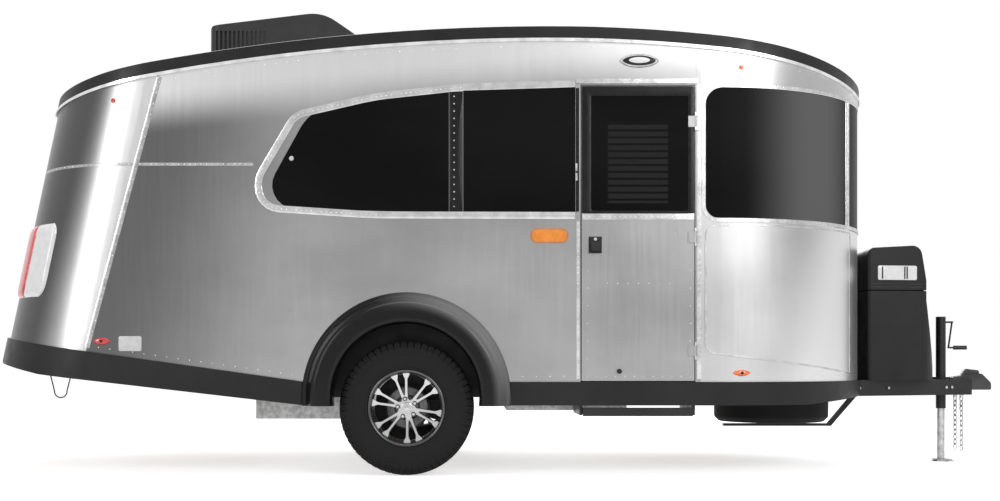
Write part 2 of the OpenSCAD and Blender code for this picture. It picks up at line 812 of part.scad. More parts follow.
module rear_grab() {
    color("whitesmoke") in_rear_wall() translate([-24, -90, hatch_low + hatch_h + 44]) cube([24 - joint_gap, 180, 46]);
}

// Entry step
module step_rails() {
    x = x_door + door_w / 2;
    color("#2a2a2a") for (s = [-1, 1]) translate([x + s * (step_w / 2 + 8 + joint_gap) - 8, -half_w + 30, 330])
        cube([16, half_w - 30 - rail_gap / 2 - rail_w / 2 - joint_gap, floor_z - 332]);
}

module entry_step() {
    x = x_door + door_w / 2;
    color("#2a2a2a") {
        translate([x - step_w / 2, -half_w + 10, 336]) cube([step_w, 300, 26]);
        translate([x - step_w / 2, -half_w, 326]) cube([step_w, 16, 46]);
    }
}

// Gas locker
module locker_plan(g) {
    translate([0, 0, 400]) linear_extrude(big) polygon(rounded([[x_lock - g, -locker_w / 2 - g, 20 + g], [x_lock + locker_l + g, -locker_w / 2 + 60 - g, 130 + g],
        [x_lock + locker_l + g, locker_w / 2 - 60 + g, 130 + g], [x_lock - g, locker_w / 2 + g, 20 + g]]));
}

module locker_side(g) {
    across(-big / 2, big / 2) polygon(rounded([[x_lock - g, tow_z + tow_h + joint_gap - g, 0], [x_lock - g, locker_top_z - 20 + g, 40 + g],
        [x_lock + locker_l - 110 + g, locker_top_z + g, 60 + g], [x_lock + locker_l - 70 + g, locker_seam_z + 60, 0],
        [x_lock + locker_l - 70 + g, locker_seam_z - 60, 0], [x_lock + locker_l + g, tow_z + tow_h + joint_gap - g, 0]]));
}

module locker_shell() {
    difference() {
        intersection() {
            locker_plan(0);
            locker_side(0);
        }
        intersection() {
            locker_plan(-locker_t);
            locker_side(-locker_t);
        }
    }
}

module gas_locker() {
    color("#222222") difference() {
        locker_shell();
        translate([x_nose, -big / 2, locker_seam_z - 3]) cube([big, big, big]);
    }
}

module locker_lid() {
    color("#222222") difference() {
        locker_shell();
        translate([x_nose, -big / 2, locker_seam_z + 3 - big]) cube([big, big, big]);
    }
    color("#222222") for (y = lid_hinge_y) translate([lid_x, y - barrel_l / 2, locker_seam_z]) {
        rotate([-90, 0, 0]) cylinder(h = barrel_l, r = hinge_r);
        translate([-lid_off - 2, 0, 0]) cube([lid_off + 2, barrel_l, 40]);
    }
}

// Fixed knuckles of the hinges, each on a leaf that is screwed to the wall
module hinge_knuckles() {
    d = knuckle_l + joint_gap;
    color("gray") {
        for (z = hinge_z, e = [-d, barrel_l + joint_gap]) translate([x_door_end, -half_w - hinge_off, floor_z + z + e]) {
            cylinder(h = knuckle_l, r = hinge_r);
            translate([0, 0, 0]) cube([26, hinge_off - joint_gap, knuckle_l]);
        }
        in_rear_wall() for (y = hatch_hinge_y, e = [-d, barrel_l + joint_gap])
            translate([-hinge_off, y - barrel_l / 2 + e, hatch_low + hatch_h + door_gap / 2]) {
                rotate([-90, 0, 0]) cylinder(h = knuckle_l, r = hinge_r);
                cube([hinge_off - joint_gap, knuckle_l, 36]);
            }
        for (y = lid_hinge_y, e = [-d, barrel_l + joint_gap]) translate([lid_x, y - barrel_l / 2 + e, locker_seam_z]) {
            rotate([-90, 0, 0]) cylinder(h = knuckle_l, r = hinge_r);
            translate([-lid_off, 0, -40]) cube([lid_off, knuckle_l, 40]);
        }
    }
}

module lid_lamp() {
    color("white") intersection() {
        difference() {
            locker_plan(4);
            locker_plan(joint_gap);
        }
        translate([x_lock + locker_l - 180, -big / 2, locker_seam_z + 70]) cube([90, big, 70]);
    }
}

module gas_bottles() {
    color("whitesmoke") for (s = [-1, 1]) translate([x_lock + 195, s * 170, tow_z + tow_h + locker_t + joint_gap]) {
        cylinder(h = 480, d = 300);
        translate([0, 0, 479]) cylinder(h = 60, d1 = 250, d2 = 120);
    }
}

// Entry door
module entry_door() {
    x0 = x_door + door_gap;
    w = door_w - 2 * door_gap;
    z0 = floor_z + door_gap;
    color("silver") {
        difference() {
            translate([x0, -half_w, z0]) cube([w, wall_t, door_h - 2 * door_gap]);
            translate([x0 + 30, -half_w - 1, glass_z]) cube([w - 60, wall_t + 2, floor_z + door_h - glass_z - 46]);
        }
        for (z = hinge_z) {
            translate([x_door_end, -half_w - hinge_off, floor_z + z]) cylinder(h = barrel_l, r = hinge_r);
            translate([x_door_end - 40, -half_w - hinge_off, floor_z + z]) cube([40, hinge_off, barrel_l]);
        }
    }
}

module door_glass() {
    x0 = x_door + door_gap + 30;
    w = door_w - 2 * door_gap - 60;
    color("black") translate([x0, -half_w, glass_z]) cube([w, glass_t, floor_z + door_h - glass_z - 46]);
}

module door_handle() {
    color("#202020") {
        translate([x_door + 45, -half_w - 10, 1215]) cube([70, 10 - joint_gap, 90]);
        translate([x_door + 55, -half_w - 34, 1236]) cube([50, 24, 22]);
    }
}

// Rear hatch, hung from its upper edge
module rear_hatch() {
    color("silver") {
        difference() {
            hatch_slab(0, 0, wall_t);
            in_rear_wall() translate([-1, -hatch_w / 2 + 90, hatch_low + 560]) cube([wall_t + 2, hatch_w - 180, 470]);
        }
        in_rear_wall() for (y = hatch_hinge_y) translate([-hinge_off, y - barrel_l / 2, hatch_low + hatch_h + door_gap / 2]) {
            rotate([-90, 0, 0]) cylinder(h = barrel_l, r = hinge_r);
            translate([0, 0, -40]) cube([hinge_off, barrel_l, 40]);
        }
    }
}

module hatch_glass() {
    color("black") in_rear_wall() translate([0, -hatch_w / 2 + 90, hatch_low + 560]) cube([glass_t, hatch_w - 180, 470]);
}

chassis_rails();
tow_frame();
coupler();
jack_post();
jack_leg();
jack_crank();
safety_chains();
axle_beam();
trailing_arms();
stabilisers();
under_tanks();
wire_hoop();
spare_wheel();
spare_carrier();
floor_panel();
door_side_wall();
far_side_wall();
rear_wall();
nose_wall();
roof_panel();
roof_edge();
gutter_rail();
side_sills();
rear_bumper();
wheel_flares();
wheel_boxes();
window_trim();
side_glass();
nose_glass();
stone_guards();
roof_cooler();
marker_lamps();
tail_lamps();
porch_lamp();
side_badge();
rear_grab();
hinge_knuckles();
step_rails();
gas_locker();
gas_bottles();
entry_step();
entry_door();
door_glass();
door_handle();
rear_hatch();
hatch_glass();
locker_lid();
lid_lamp();
tyre_right();
rim_right();
tyre_left();
rim_left();
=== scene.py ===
"""A travel caravan with a riveted aluminium body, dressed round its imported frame."""

from math import atan2, cos, pi, radians, sin, tan

import bmesh
import bpy
import numpy as np
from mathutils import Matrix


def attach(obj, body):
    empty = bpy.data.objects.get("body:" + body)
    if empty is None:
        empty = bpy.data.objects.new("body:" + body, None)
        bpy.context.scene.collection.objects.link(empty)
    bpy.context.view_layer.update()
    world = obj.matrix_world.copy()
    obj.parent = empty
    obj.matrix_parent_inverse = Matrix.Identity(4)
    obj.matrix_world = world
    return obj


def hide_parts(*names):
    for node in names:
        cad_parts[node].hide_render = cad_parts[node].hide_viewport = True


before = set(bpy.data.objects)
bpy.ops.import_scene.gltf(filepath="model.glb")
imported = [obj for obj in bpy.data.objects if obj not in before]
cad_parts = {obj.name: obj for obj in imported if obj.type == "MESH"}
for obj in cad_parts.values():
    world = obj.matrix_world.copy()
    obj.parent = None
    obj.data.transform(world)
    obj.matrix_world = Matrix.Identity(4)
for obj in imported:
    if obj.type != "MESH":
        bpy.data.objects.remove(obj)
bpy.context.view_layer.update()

# ---- Studio ----
# A pale seamless floor under soft lamps, and the camera of the picture: level, side on,
# about seven metres off the door side and low, 0.63 m off the ground.
eye = bpy.data.cameras.new("eye")
eye.lens, eye.sensor_width = 46.2, 36.0
eye.shift_x, eye.shift_y = 0.03, 0.11
eye.clip_end = 200.0
camera = bpy.data.objects.new("camera", eye)
camera.location = (-0.28, -8.07, 0.63)
camera.rotation_euler = (radians(90), 0, 0)
bpy.context.scene.collection.objects.link(camera)
bpy.context.scene.camera = camera
bpy.context.scene.view_settings.view_transform = "Standard"


def add(tree, kind, ins=None, **props):
    """A new node with these properties; each input, by number or name, is set or linked."""
    made = tree.nodes.new(kind)
    for prop, value in props.items():
        setattr(made, prop, value)
    for key, value in (ins or {}).items():
        if isinstance(value, bpy.types.NodeSocket):
            tree.links.new(value, made.inputs[key])
        else:
            made.inputs[key].default_value = value
    return made


def maths(tree, operation, *values):
    """What one sum or comparison makes of these values."""
    return add(tree, "ShaderNodeMath", dict(enumerate(values)), operation=operation).outputs[0]


def seen(tree):
    """One where a ray comes straight from the camera or off gloss or glass, else nought."""
    path = add(tree, "ShaderNodeLightPath").outputs
    gloss = maths(tree, "MAXIMUM", path["Is Camera Ray"], path["Is Glossy Ray"])
    return maths(tree, "MAXIMUM", gloss, path["Is Transmission Ray"])


sky = bpy.data.worlds.new("sky")
sky.use_nodes = True
bpy.context.scene.world = sky
tree = sky.node_tree
backdrop = tree.nodes["Background"]
backdrop.inputs["Color"].default_value = (1, 1, 1, 1)
level = add(tree, "ShaderNodeMapRange", {0: seen(tree), 3: 0.42, 4: 1.0})
tree.links.new(level.outputs[0], backdrop.inputs["Strength"])

for name, place, aim, width, height, power in (
        ("front_box", (4.6, -7.5, 4.4), (0.9, -1, 1.2), 4.5, 3.5, 330),
        ("rear_box", (-6.2, -6.4, 3.2), (-2.4, -1, 1.3), 1.6, 4.0, 170),
        ("top_box", (0.0, -0.5, 7.5), (0, 0, 1), 8.0, 5.0, 430),
        ("far_box", (1.5, 8.0, 5.0), (0, 1, 1.2), 6.0, 4.0, 330)):
    lamp = bpy.data.lights.new(name, "AREA")
    lamp.shape, lamp.size, lamp.size_y, lamp.energy = "RECTANGLE", width, height, power
    box = bpy.data.objects.new(name, lamp)
    box.location = place
    away = np.array(place) - np.array(aim)
    box.rotation_euler = (np.arccos(away[2] / np.linalg.norm(away)), 0, atan2(away[1], away[0]) + pi / 2)
    bpy.context.scene.collection.objects.link(box)

paper = bpy.data.materials.new("floor_paper")
paper.use_nodes = True
tree = paper.node_tree
shader = tree.nodes["Principled BSDF"]
shader.inputs["Roughness"].default_value = 0.9
spot = add(tree, "ShaderNodeTexCoord").outputs["Object"]
fibre = add(tree, "ShaderNodeTexNoise", {"Vector": spot, "Scale": 0.7, "Detail": 4.0}).outputs[0]
shade = add(tree, "ShaderNodeMix", {0: fibre, 6: (0.8, 0.8, 0.8, 1), 7: (0.84, 0.84, 0.84, 1)},
            data_type="RGBA")
tree.links.new(shade.outputs[2], shader.inputs["Base Color"])
shader.inputs["Emission Color"].default_value = (1, 1, 1, 1)
tree.links.new(maths(tree, "MULTIPLY", seen(tree), 0.62), shader.inputs["Emission Strength"])


def grid(points, ring_u=False, ring_v=False, caps=False):
    """Corners and faces of a surface laid on a grid of points [u, v]; a ring joins its last row to its first,
    and caps close a tube's two ends."""
    nu, nv = points.shape[:2]
    u, v = np.meshgrid(np.arange(nu - (not ring_u)), np.arange(nv - (not ring_v)), indexing="ij")
    u2, v2 = (u + 1) % nu, (v + 1) % nv
    faces = np.stack([u * nv + v, u2 * nv + v, u2 * nv + v2, u * nv + v2], -1).reshape(-1, 4).tolist()
    if caps:
        faces += [list(range(nv)), list(range((nu - 1) * nv, nu * nv))[::-1]]
    return points.reshape(-1, 3), faces


def put(name, shape, body, coat, sharp=32, closed=True):
    """A piece at the origin with its place in its mesh and doubled corners merged, smooth where faces meet
    below the sharp angle in degrees. A closed shape's faces are turned outwards."""
    corners, faces = shape
    mesh = bpy.data.meshes.new(name)
    mesh.from_pydata(np.asarray(corners).tolist(), [], faces)
    work = bmesh.new()
    work.from_mesh(mesh)
    bmesh.ops.remove_doubles(work, verts=work.verts, dist=2e-6)
    if closed:
        bmesh.ops.recalc_face_normals(work, faces=work.faces)
    work.to_mesh(mesh)
    work.free()
    mesh.polygons.foreach_set("use_smooth", np.ones(len(mesh.polygons), bool))
    mesh.set_sharp_from_angle(angle=radians(sharp))
    mesh.materials.append(coat)
    made = bpy.data.objects.new(name, mesh)
    bpy.context.scene.collection.objects.link(made)
    if body:
        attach(made, body)
    return made


floor_x, floor_y = np.meshgrid(np.linspace(-60, 60, 9), np.linspace(-60, 60, 9), indexing="ij")
ground = put("ground", grid(np.stack([floor_x, floor_y, 0 * floor_x], -1)), None, paper, closed=False)

# ---- Chassis and tow frame ----
# Two folded steel rails under the floor, cross members and an A-shaped tow frame, welded and
# powder coated black, with a pressed coupler bolted to its tip.


def finish(name, colour, rough, metal=0.0, **fixed):
    """A finish whose even numbers sit on the shader's own sockets. Returns it with its nodes, its shader and
    the piece's own coordinates."""
    made = bpy.data.materials.new(name)
    made.use_nodes = True
    tree = made.node_tree
    shader = tree.nodes["Principled BSDF"]
    for socket, value in dict(Base_Color=(*colour, 1), Roughness=rough, Metallic=metal, **fixed).items():
        shader.inputs[socket.replace("_", " ")].default_value = value
    return made, tree, shader, add(tree, "ShaderNodeTexCoord").outputs["Object"]


def cloud(tree, spot, scale, stretch=(1, 1, 1), detail=3.0, low=0.35, high=0.65):
    """Soft blotches from nought to one, the pattern squeezed by these factors."""
    placed = add(tree, "ShaderNodeMapping", {0: spot, 3: stretch}).outputs[0]
    noise = add(tree, "ShaderNodeTexNoise", {"Vector": placed, "Scale": scale, "Detail": detail}).outputs[0]
    return add(tree, "ShaderNodeMapRange", {0: noise, 1: low, 2: high}).outputs[0]


def between(tree, factor, dark, light):
    """Colours from dark at nought to light at one; either may be a tone or a node's output."""
    ends = {k: v if isinstance(v, bpy.types.NodeSocket) else (*v, 1) for k, v in ((6, dark), (7, light))}
    return add(tree, "ShaderNodeMix", {0: factor, **ends}, data_type="RGBA").outputs[2]


def spread(tree, value, low, high):
    """Takes nought to one on to low to high."""
    return add(tree, "ShaderNodeMapRange", {0: value, 3: low, 4: high}).outputs[0]


def relief(tree, shader, height, strength, depth):
    """Raises the surface by a height pattern."""
    bump = add(tree, "ShaderNodeBump", {"Height": height, "Strength": strength, "Distance": depth})
    tree.links.new(bump.outputs[0], shader.inputs["Normal"])


def coated(name, dark, light, rough, metal=0.0, patch=2.5, grain=300.0, raised=0.12, **fixed):
    """A painted, moulded or plated coat: two tones in soft patches, a roughness that wanders, and a fine
    grain in relief."""
    made, tree, shader, spot = finish(name, light, rough, metal, **fixed)
    tree.links.new(between(tree, cloud(tree, spot, patch), dark, light), shader.inputs["Base Color"])
    tree.links.new(spread(tree, cloud(tree, spot, patch * 5, detail=5.0), rough * 0.82, rough * 1.15),
                   shader.inputs["Roughness"])
    relief(tree, shader, cloud(tree, spot, grain, detail=2.0), raised, 0.0008)
    return made


def dress(coat, *names):
    """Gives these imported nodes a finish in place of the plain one."""
    for name in names:
        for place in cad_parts[name].material_slots:
            place.material = coat


def grey(tone):
    """A neutral colour of this tone."""
    return (tone, tone, tone)


black_steel = coated("black_steel", grey(0.006), grey(0.014), 0.4, grain=220.0, raised=0.2,
                     Specular_IOR_Level=0.3)
worn_steel = coated("worn_steel", grey(0.016), grey(0.045), 0.36, metal=0.3, patch=9.0, grain=160.0,
                    raised=0.2)
zinc_steel = coated("zinc_steel", grey(0.34), grey(0.52), 0.34, metal=1.0, patch=30.0, grain=200.0)
dress(black_steel, "chassis_rails", "tow_frame", "jack_post", "jack_crank", "axle_beam", "trailing_arms",
      "stabilisers", "spare_carrier", "wire_hoop", "step_rails", "entry_step")
dress(worn_steel, "coupler")
dress(zinc_steel, "jack_leg", "safety_chains")


def unit(ways):
    """The same directions, each one long."""
    return ways / np.linalg.norm(ways, axis=-1, keepdims=True)


def turned(rows, place, out, steps=48, ring=False):
    """A body of revolution: rows [radius, height] carried round the axis that leaves place in the outward
    direction. Rows that start and end on the axis close it, or ring joins the last row to the first."""
    rows, out = np.array(rows, float), unit(np.array(out, float))
    first = unit(np.cross(out, (0, 0, 1) if abs(out[2]) < 0.9 else (0, 1, 0)))
    second = np.cross(out, first)
    angle = np.linspace(0, 2 * pi, steps, endpoint=False)[:, None, None]
    round_about = np.cos(angle) * first + np.sin(angle) * second
    points = np.array(place, float) + rows[None, :, :1] * round_about + rows[None, :, 1:] * out
    return grid(points, ring_u=True, ring_v=ring)


def joined(shapes):
    """Several shapes as one: corners stacked, faces counted on."""
    corners, faces, start = [], [], 0
    for points, loops in shapes:
        corners.append(points)
        faces += [[start + k for k in loop] for loop in loops]
        start += len(points)
    return np.concatenate(corners), faces


def stamped(shape, at, out, up=(0, 0, 1)):
    """Copies of a small shape, its +Z along each outward direction and its +Y as near to up as it goes."""
    corners, faces = shape
    at = np.atleast_2d(np.array(at, float))
    out = np.broadcast_to(unit(np.array(out, float)), at.shape)
    across = unit(np.cross(np.array(up, float), out))
    turn = np.stack([across, np.cross(out, across), out], 1)
    points = at[:, None, :] + np.einsum("kc,ncd->nkd", corners, turn)
    loops = np.arange(len(at))[:, None] * len(corners)
    made = []
    for size in {len(f) for f in faces}:
        same = np.array([f for f in faces if len(f) == size])
        made += (loops[:, :, None] + same[None]).reshape(-1, size).tolist()
    return points.reshape(-1, 3), made


def head(rows, steps):
    """A small body of revolution about +Z, ready to be stamped."""
    return turned(rows, (0, 0, 0), (0, 0, 1), steps)


def bolt(width, height):
    """A hexagon head with a rounded crown: six sides carried up and drawn in to the axis."""
    half = width / 2
    return head([[0, -0.001], [half, -0.001], [half, height * 0.8], [half * 0.8, height], [0, height]], 6)


bolt_x = np.array([1.6, 1.75, 2.05, 2.25, 2.66, 2.7])
bolt_z = 0.465
arm_end, arm_gap, arm_half = 2.85, 0.04, 0.0275
tow_yaw = atan2(0.55, 1.38)
bolt_y = arm_gap + (arm_end - bolt_x) * tan(tow_yaw) + arm_half
bolt_at = np.concatenate([np.stack([bolt_x, side * bolt_y, 0 * bolt_x + bolt_z], -1) for side in (-1, 1)])
bolt_out = np.repeat([[sin(tow_yaw), side * cos(tow_yaw), 0] for side in (-1, 1)], len(bolt_x), axis=0)
put("tow_frame_bolts", stamped(bolt(0.019, 0.009), bolt_at, bolt_out), "trailer", zinc_steel)

# ---- Wheels ----
# All-terrain trailer tyres on cast alloy wheels with six pairs of spokes. The spokes' faces are machined
# bright and lacquered, the pockets and barrel painted graphite, and five nuts hold each wheel to its drum.


def toned(tree, shader, pattern, dark, light, smooth, rough):
    """One pattern carries the colour from dark to light and the roughness from smooth to rough."""
    tree.links.new(between(tree, pattern, dark, light), shader.inputs["Base Color"])
    tree.links.new(spread(tree, pattern, smooth, rough), shader.inputs["Roughness"])


rubber, tree, shader, spot = finish("tyre_rubber", grey(0.006), 0.72, Specular_IOR_Level=0.2)
toned(tree, shader, cloud(tree, spot, 5.0, detail=5.0), grey(0.003), grey(0.009), 0.62, 0.82)
relief(tree, shader, cloud(tree, spot, 260.0, detail=4.0), 0.25, 0.0008)
graphite = coated("wheel_graphite", grey(0.035), grey(0.055), 0.26, metal=0.55, grain=500.0, raised=0.04,
                  Coat_Weight=0.6, Coat_Roughness=0.08)
machined, tree, shader, spot = finish("machined_face", grey(0.78), 0.2, 1.0)
drawn_out = add(tree, "ShaderNodeMapping", {0: spot, 3: (1, 0.05, 1)}).outputs[0]
lathe = add(tree, "ShaderNodeTexNoise", {"Vector": drawn_out, "Scale": 420.0, "Detail": 2.0}).outputs[0]
toned(tree, shader, lathe, grey(0.38), grey(0.54), 0.16, 0.3)
relief(tree, shader, lathe, 0.08, 0.0004)
cast_iron = coated("drum_iron", grey(0.06), grey(0.16), 0.5, metal=0.7, patch=12.0, grain=180.0, raised=0.3)

axle = np.array([-0.627, 0, 0.37])
wheel_y = 0.9655
# The tyre's section from the middle of the tread to the bead: offset, radius, ring groove and two cross cuts,
# in metres.
section = np.array([
    [0, 0.37, 0, 0.008, 0], [0.009, 0.37, 0, 0.008, 0], [0.0155, 0.3699, 0, 0.008, 0],
    [0.0168, 0.3698, 0.009, 0.009, 0.009], [0.0242, 0.3697, 0.009, 0.009, 0.009],
    [0.0255, 0.3697, 0, 0, 0.008], [0.038, 0.3694, 0, 0, 0.008], [0.0515, 0.369, 0, 0, 0.008],
    [0.0528, 0.3688, 0.009, 0.009, 0.009], [0.06, 0.3686, 0.009, 0.009, 0.009],
    [0.0613, 0.3684, 0, 0.009, 0], [0.076, 0.3678, 0, 0.009, 0], [0.09, 0.3668, 0, 0.009, 0],
    [0.0985, 0.364, 0, 0.009, 0], [0.104, 0.359, 0, 0.009, 0.002], [0.1075, 0.3515, 0, 0.008, 0.003],
    [0.1098, 0.343, 0, 0.006, 0.003], [0.1112, 0.34, 0, 0.004, 0.003],
    [0.1118, 0.3372, 0.002, 0.002, 0.002], [0.1128, 0.333, 0.002, -0.001, 0.002],
    [0.113, 0.331, 0, -0.003, 0], [0.114, 0.32, 0, -0.003, 0], [0.1142, 0.318, 0.001, 0.001, 0.001],
    [0.1152, 0.308, 0.001, 0.001, 0.001], [0.1154, 0.3065, 0, 0, 0], [0.1164, 0.295, 0, 0, 0],
    [0.1168, 0.2935, -0.0008, -0.0008, -0.0008], [0.1171, 0.288, -0.0008, -0.0008, -0.0008],
    [0.1172, 0.2865, 0, 0, 0], [0.1174, 0.272, 0, 0, 0], [0.1172, 0.26, 0, 0, 0], [0.1162, 0.249, 0, 0, 0],
    [0.1146, 0.24, 0, 0, 0], [0.1132, 0.234, -0.001, -0.001, -0.001],
    [0.1118, 0.229, -0.001, -0.001, -0.001], [0.1104, 0.227, 0, 0, 0], [0.108, 0.219, 0, 0, 0],
    [0.1056, 0.2146, 0, 0, 0], [0.101, 0.2134, 0, 0, 0], [0.093, 0.213, 0, 0, 0], [0.0916, 0.206, 0, 0, 0],
    [0.0914, 0.1986, 0, 0, 0]])
pitches = 58
pitch_steps = np.array([0, 0.05, 0.22, 0.27, 0.5, 0.55, 0.72, 0.77])
pulse_a = np.array([0, 1, 1, 0, 0, 0, 0, 0])
pulse_b = np.array([0, 0, 0, 0, 0, 1, 1, 0])


def round_axle(size, angle, off):
    """Points this far from the axle, at this angle from straight up and this far off the van's middle."""
    return np.stack([size * np.sin(angle), off + 0 * angle, size * np.cos(angle)], -1) + axle


def tyre_shape(side):
    """The section is carried round the axle. Each point sinks along the section's inward normal by its ring
    groove, or by one of its two cross cuts, which come on for part of every pitch, and the middle ribs sway
    sideways in a zigzag once a pitch. The inner half takes the two cuts the other way round."""
    inner = section[:0:-1].copy()
    inner[:, 0] *= -1
    inner[:, 3:] = inner[:, :2:-1]
    rows = np.concatenate([inner, section])
    slope = unit(np.gradient(rows[:, :2], axis=0))
    inward = np.stack([slope[:, 1], -slope[:, 0]], -1)
    turn = ((np.arange(pitches)[:, None] + pitch_steps) / pitches * 2 * pi).reshape(-1, 1)
    a, b = (np.tile(p, pitches)[:, None] for p in (pulse_a, pulse_b))
    cut = np.where(a > 0, rows[:, 3], np.where(b > 0, rows[:, 4], rows[:, 2]))
    sway = np.tile((np.abs(2 * pitch_steps - 1) - 0.5) * 0.005, pitches)[:, None]
    offset = rows[:, 0] + inward[:, 0] * cut + sway * np.clip((0.07 - np.abs(rows[:, 0])) / 0.02, 0, 1)
    radius = rows[:, 1] + inward[:, 1] * cut
    return grid(round_axle(radius, turn, side * (offset + wheel_y)), ring_u=True, ring_v=True)


def spoke(side, width, low, high, chamfer):
    """A bar whose half width stays even and then flares to the rim, carried along its line from the hub
    outwards. Its height follows the dished face, and points past the barrel are drawn back to its circle.
    Twelve are set round the hub in six splayed pairs."""
    along = np.array([0, 0.02, 0.045, 0.07, 0.09, 0.1, 0.106, 0.112, 0.118, 0.124, 0.13, 0.14])[:, None]
    half = np.interp(along, [0, 0.03, 0.098, 0.122, 0.14], [0.01, 0.0075, 0.0075, 0.0195, 0.0215]) + width
    across = half * np.array([-1, -1, 0, 1, 1]) + np.array([0, chamfer, 0, -chamfer, 0])
    splay = radians(11)
    shapes = []
    for pair in range(6):
        for hand in (-1, 1):
            reach = 0.06 + along * cos(splay) - hand * across * sin(splay)
            aside = hand * (0.009 + along * sin(splay)) + across * cos(splay)
            size = np.hypot(reach, aside)
            shrink = np.minimum(1, 0.1905 / size)
            reach, aside, size = reach * shrink, aside * shrink, size * shrink
            face = np.interp(size, [0.06, 0.1, 0.15, 0.19], [0.0635, 0.0655, 0.0715, 0.0785])
            top = face + high - np.array([chamfer, 0, 0, 0, chamfer])
            angle = np.arctan2(aside, reach) + radians(60) * pair + radians(49)
            crown = round_axle(size, angle, side * (wheel_y + top))
            foot = round_axle(size, angle, side * (wheel_y + face + low))
            shapes.append(grid(np.concatenate([crown, foot[:, [4, 0]]], 1), ring_v=True, caps=True))
    return joined(shapes)


def hub_star(side, radius, low, high):
    """A plate round the hub whose edge swells six times, towards each pair of spokes."""
    angle = np.linspace(0, 2 * pi, 96, endpoint=False)[:, None]
    edge = radius + 0.013 * np.cos(6 * (angle - radians(49)))
    share, height = np.array([[0, 1, 1, 0.96, 0], [low, low, high - 0.002, high, high]])
    return grid(round_axle(edge * share, angle, side * (wheel_y + height)), ring_u=True)


nut_turn = np.radians(np.arange(5) * 72 - 11)
for name, side in (("right", -1), ("left", 1)):
    body, out = "wheel_" + name, (0, side, 0)
    centre = axle + (0, side * wheel_y, 0)
    tyre = put("road_tyre_" + name, tyre_shape(side), body, rubber, sharp=24)
    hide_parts("tyre_" + name)
    barrel_rows = [[0.1982, -0.089], [0.1982, 0.0925], [0.208, 0.0955], [0.2098, 0.0985], [0.2095, 0.1015],
                   [0.207, 0.1026], [0.203, 0.102], [0.1965, 0.0975], [0.193, 0.09], [0.1915, 0.08],
                   [0.1885, 0.076], [0.1868, 0.07], [0.1868, 0.056], [0.1845, 0.05], [0.186, -0.089]]
    barrel = turned(barrel_rows, centre, out, 96, ring=True)
    barrel = put("wheel_barrel_" + name, barrel, body, graphite)
    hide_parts("rim_" + name)
    put("wheel_spokes_" + name, spoke(side, 0.0, -0.03, 0.0, 0.002), body, graphite)
    put("spoke_faces_" + name, spoke(side, -0.0012, -0.002, 0.0007, 0.0004), body, machined)
    put("wheel_hub_" + name, hub_star(side, 0.063, 0.03, 0.0632), body, graphite)
    put("hub_face_" + name, hub_star(side, 0.06, 0.06, 0.0642), body, machined)
    drum_rows = [[0, -0.07], [0.118, -0.07], [0.124, -0.066], [0.124, -0.05], [0.12, -0.044],
                 [0.12, -0.006], [0.112, 0.004], [0.09, 0.008], [0.072, 0.012], [0.06, 0.032], [0, 0.034]]
    put("brake_drum_" + name, turned(drum_rows, centre, out, 64), body, cast_iron)
    cap_rows = [[0, 0.05], [0.031, 0.05], [0.031, 0.0735], [0.0295, 0.0765], [0.0265, 0.078],
                [0.023, 0.0778], [0.0222, 0.0764], [0.016, 0.0764], [0.0152, 0.0778], [0.008, 0.079],
                [0, 0.0792]]
    put("hub_cap_" + name, turned(cap_rows, centre, out), body, machined)
    nut_at = round_axle(0.0505, nut_turn, side * (wheel_y + 0.064))
    well = head([[0, 0], [0.0135, 0], [0.0135, 0.0009], [0.012, 0.0012], [0, 0.0012]], 16)
    put("nut_wells_" + name, stamped(well, nut_at, out), body, graphite)
    put("wheel_nuts_" + name, stamped(bolt(0.02, 0.013), nut_at, out), body, machined)

# ---- Floor and tanks ----
# The cabin stands on a sealed plywood floor. Two water tanks in galvanised trays hang under it between the
# rails, and the spare wheel lies flat under the front.
plywood, tree, shader, spot = finish("floor_plywood", (0.4, 0.28, 0.17), 0.5)
grain = cloud(tree, spot, 6.0, (0.15, 1.6, 1), 6.0)
toned(tree, shader, grain, (0.3, 0.2, 0.12), (0.46, 0.33, 0.21), 0.42, 0.6)
relief(tree, shader, grain, 0.1, 0.0006)
tank_tray = coated("tank_tray", grey(0.26), grey(0.42), 0.42, metal=1.0, patch=40.0, grain=90.0)
dress(plywood, "floor_panel")
dress(tank_tray, "under_tanks")
dress(rubber, "spare_wheel")

# ---- Body sheets ----
# Clear-coated aluminium sheets, riveted over a frame and lined inside with pale panels. The wrapped rear
# corners and the nose are painted brighter than the long side sheets: painted highlights and shade stand in
# for the light on them. A cover strip hides each seam.
# Half the body's width, the leaning rear wall's foot, its corners' radius and where the nose begins.
half_w, x_wall, wall_foot, rake, corner_r, nose_x = 1.07, -2.962, 0.763, radians(12), 0.6, 1.09
# The floor, where the sill begins to climb and how steeply, the roof's crest and the slanted rear seam.
floor_z, kink_x, tail_rise = 0.513, -1.177, 0.14006
crest_x, crest_z, seam_x, seam_tilt = 0.17, 2.455, -2.42, radians(15)


def on_skin(x, z, side, lift=0.0):
    """Point and outward normal of the body's skin at x and z. The side is flat, and towards each end it
    follows a quarter circle in plan, the rear one leaning forward with the rear wall."""
    x, z = (a.astype(float) for a in np.broadcast_arrays(x, z))
    back = (x - x_wall - (z - wall_foot) * tan(rake)) * cos(rake)
    rear = np.clip(1 - back / corner_r, 0, 0.9995)
    nose = np.clip(x - nose_x, 0, 0.9995)
    y = half_w - corner_r * (1 - np.sqrt(1 - rear ** 2)) - (1 - np.sqrt(1 - nose ** 2))
    out_y = side * np.sqrt((1 - nose ** 2) * (1 - rear ** 2))
    out = np.stack([nose - rear * cos(rake), out_y, rear * sin(rake)], -1)
    return np.stack([x, side * y, z], -1) + out * lift, out


def roof_line(x, drop=0.0):
    """Height of the roof's curve, a wide arc behind the crest and a tighter one ahead of it."""
    radius = np.where(x < crest_x, 12.5, 8.5) - drop
    return crest_z - drop - radius + np.sqrt(radius ** 2 - (x - crest_x) ** 2)


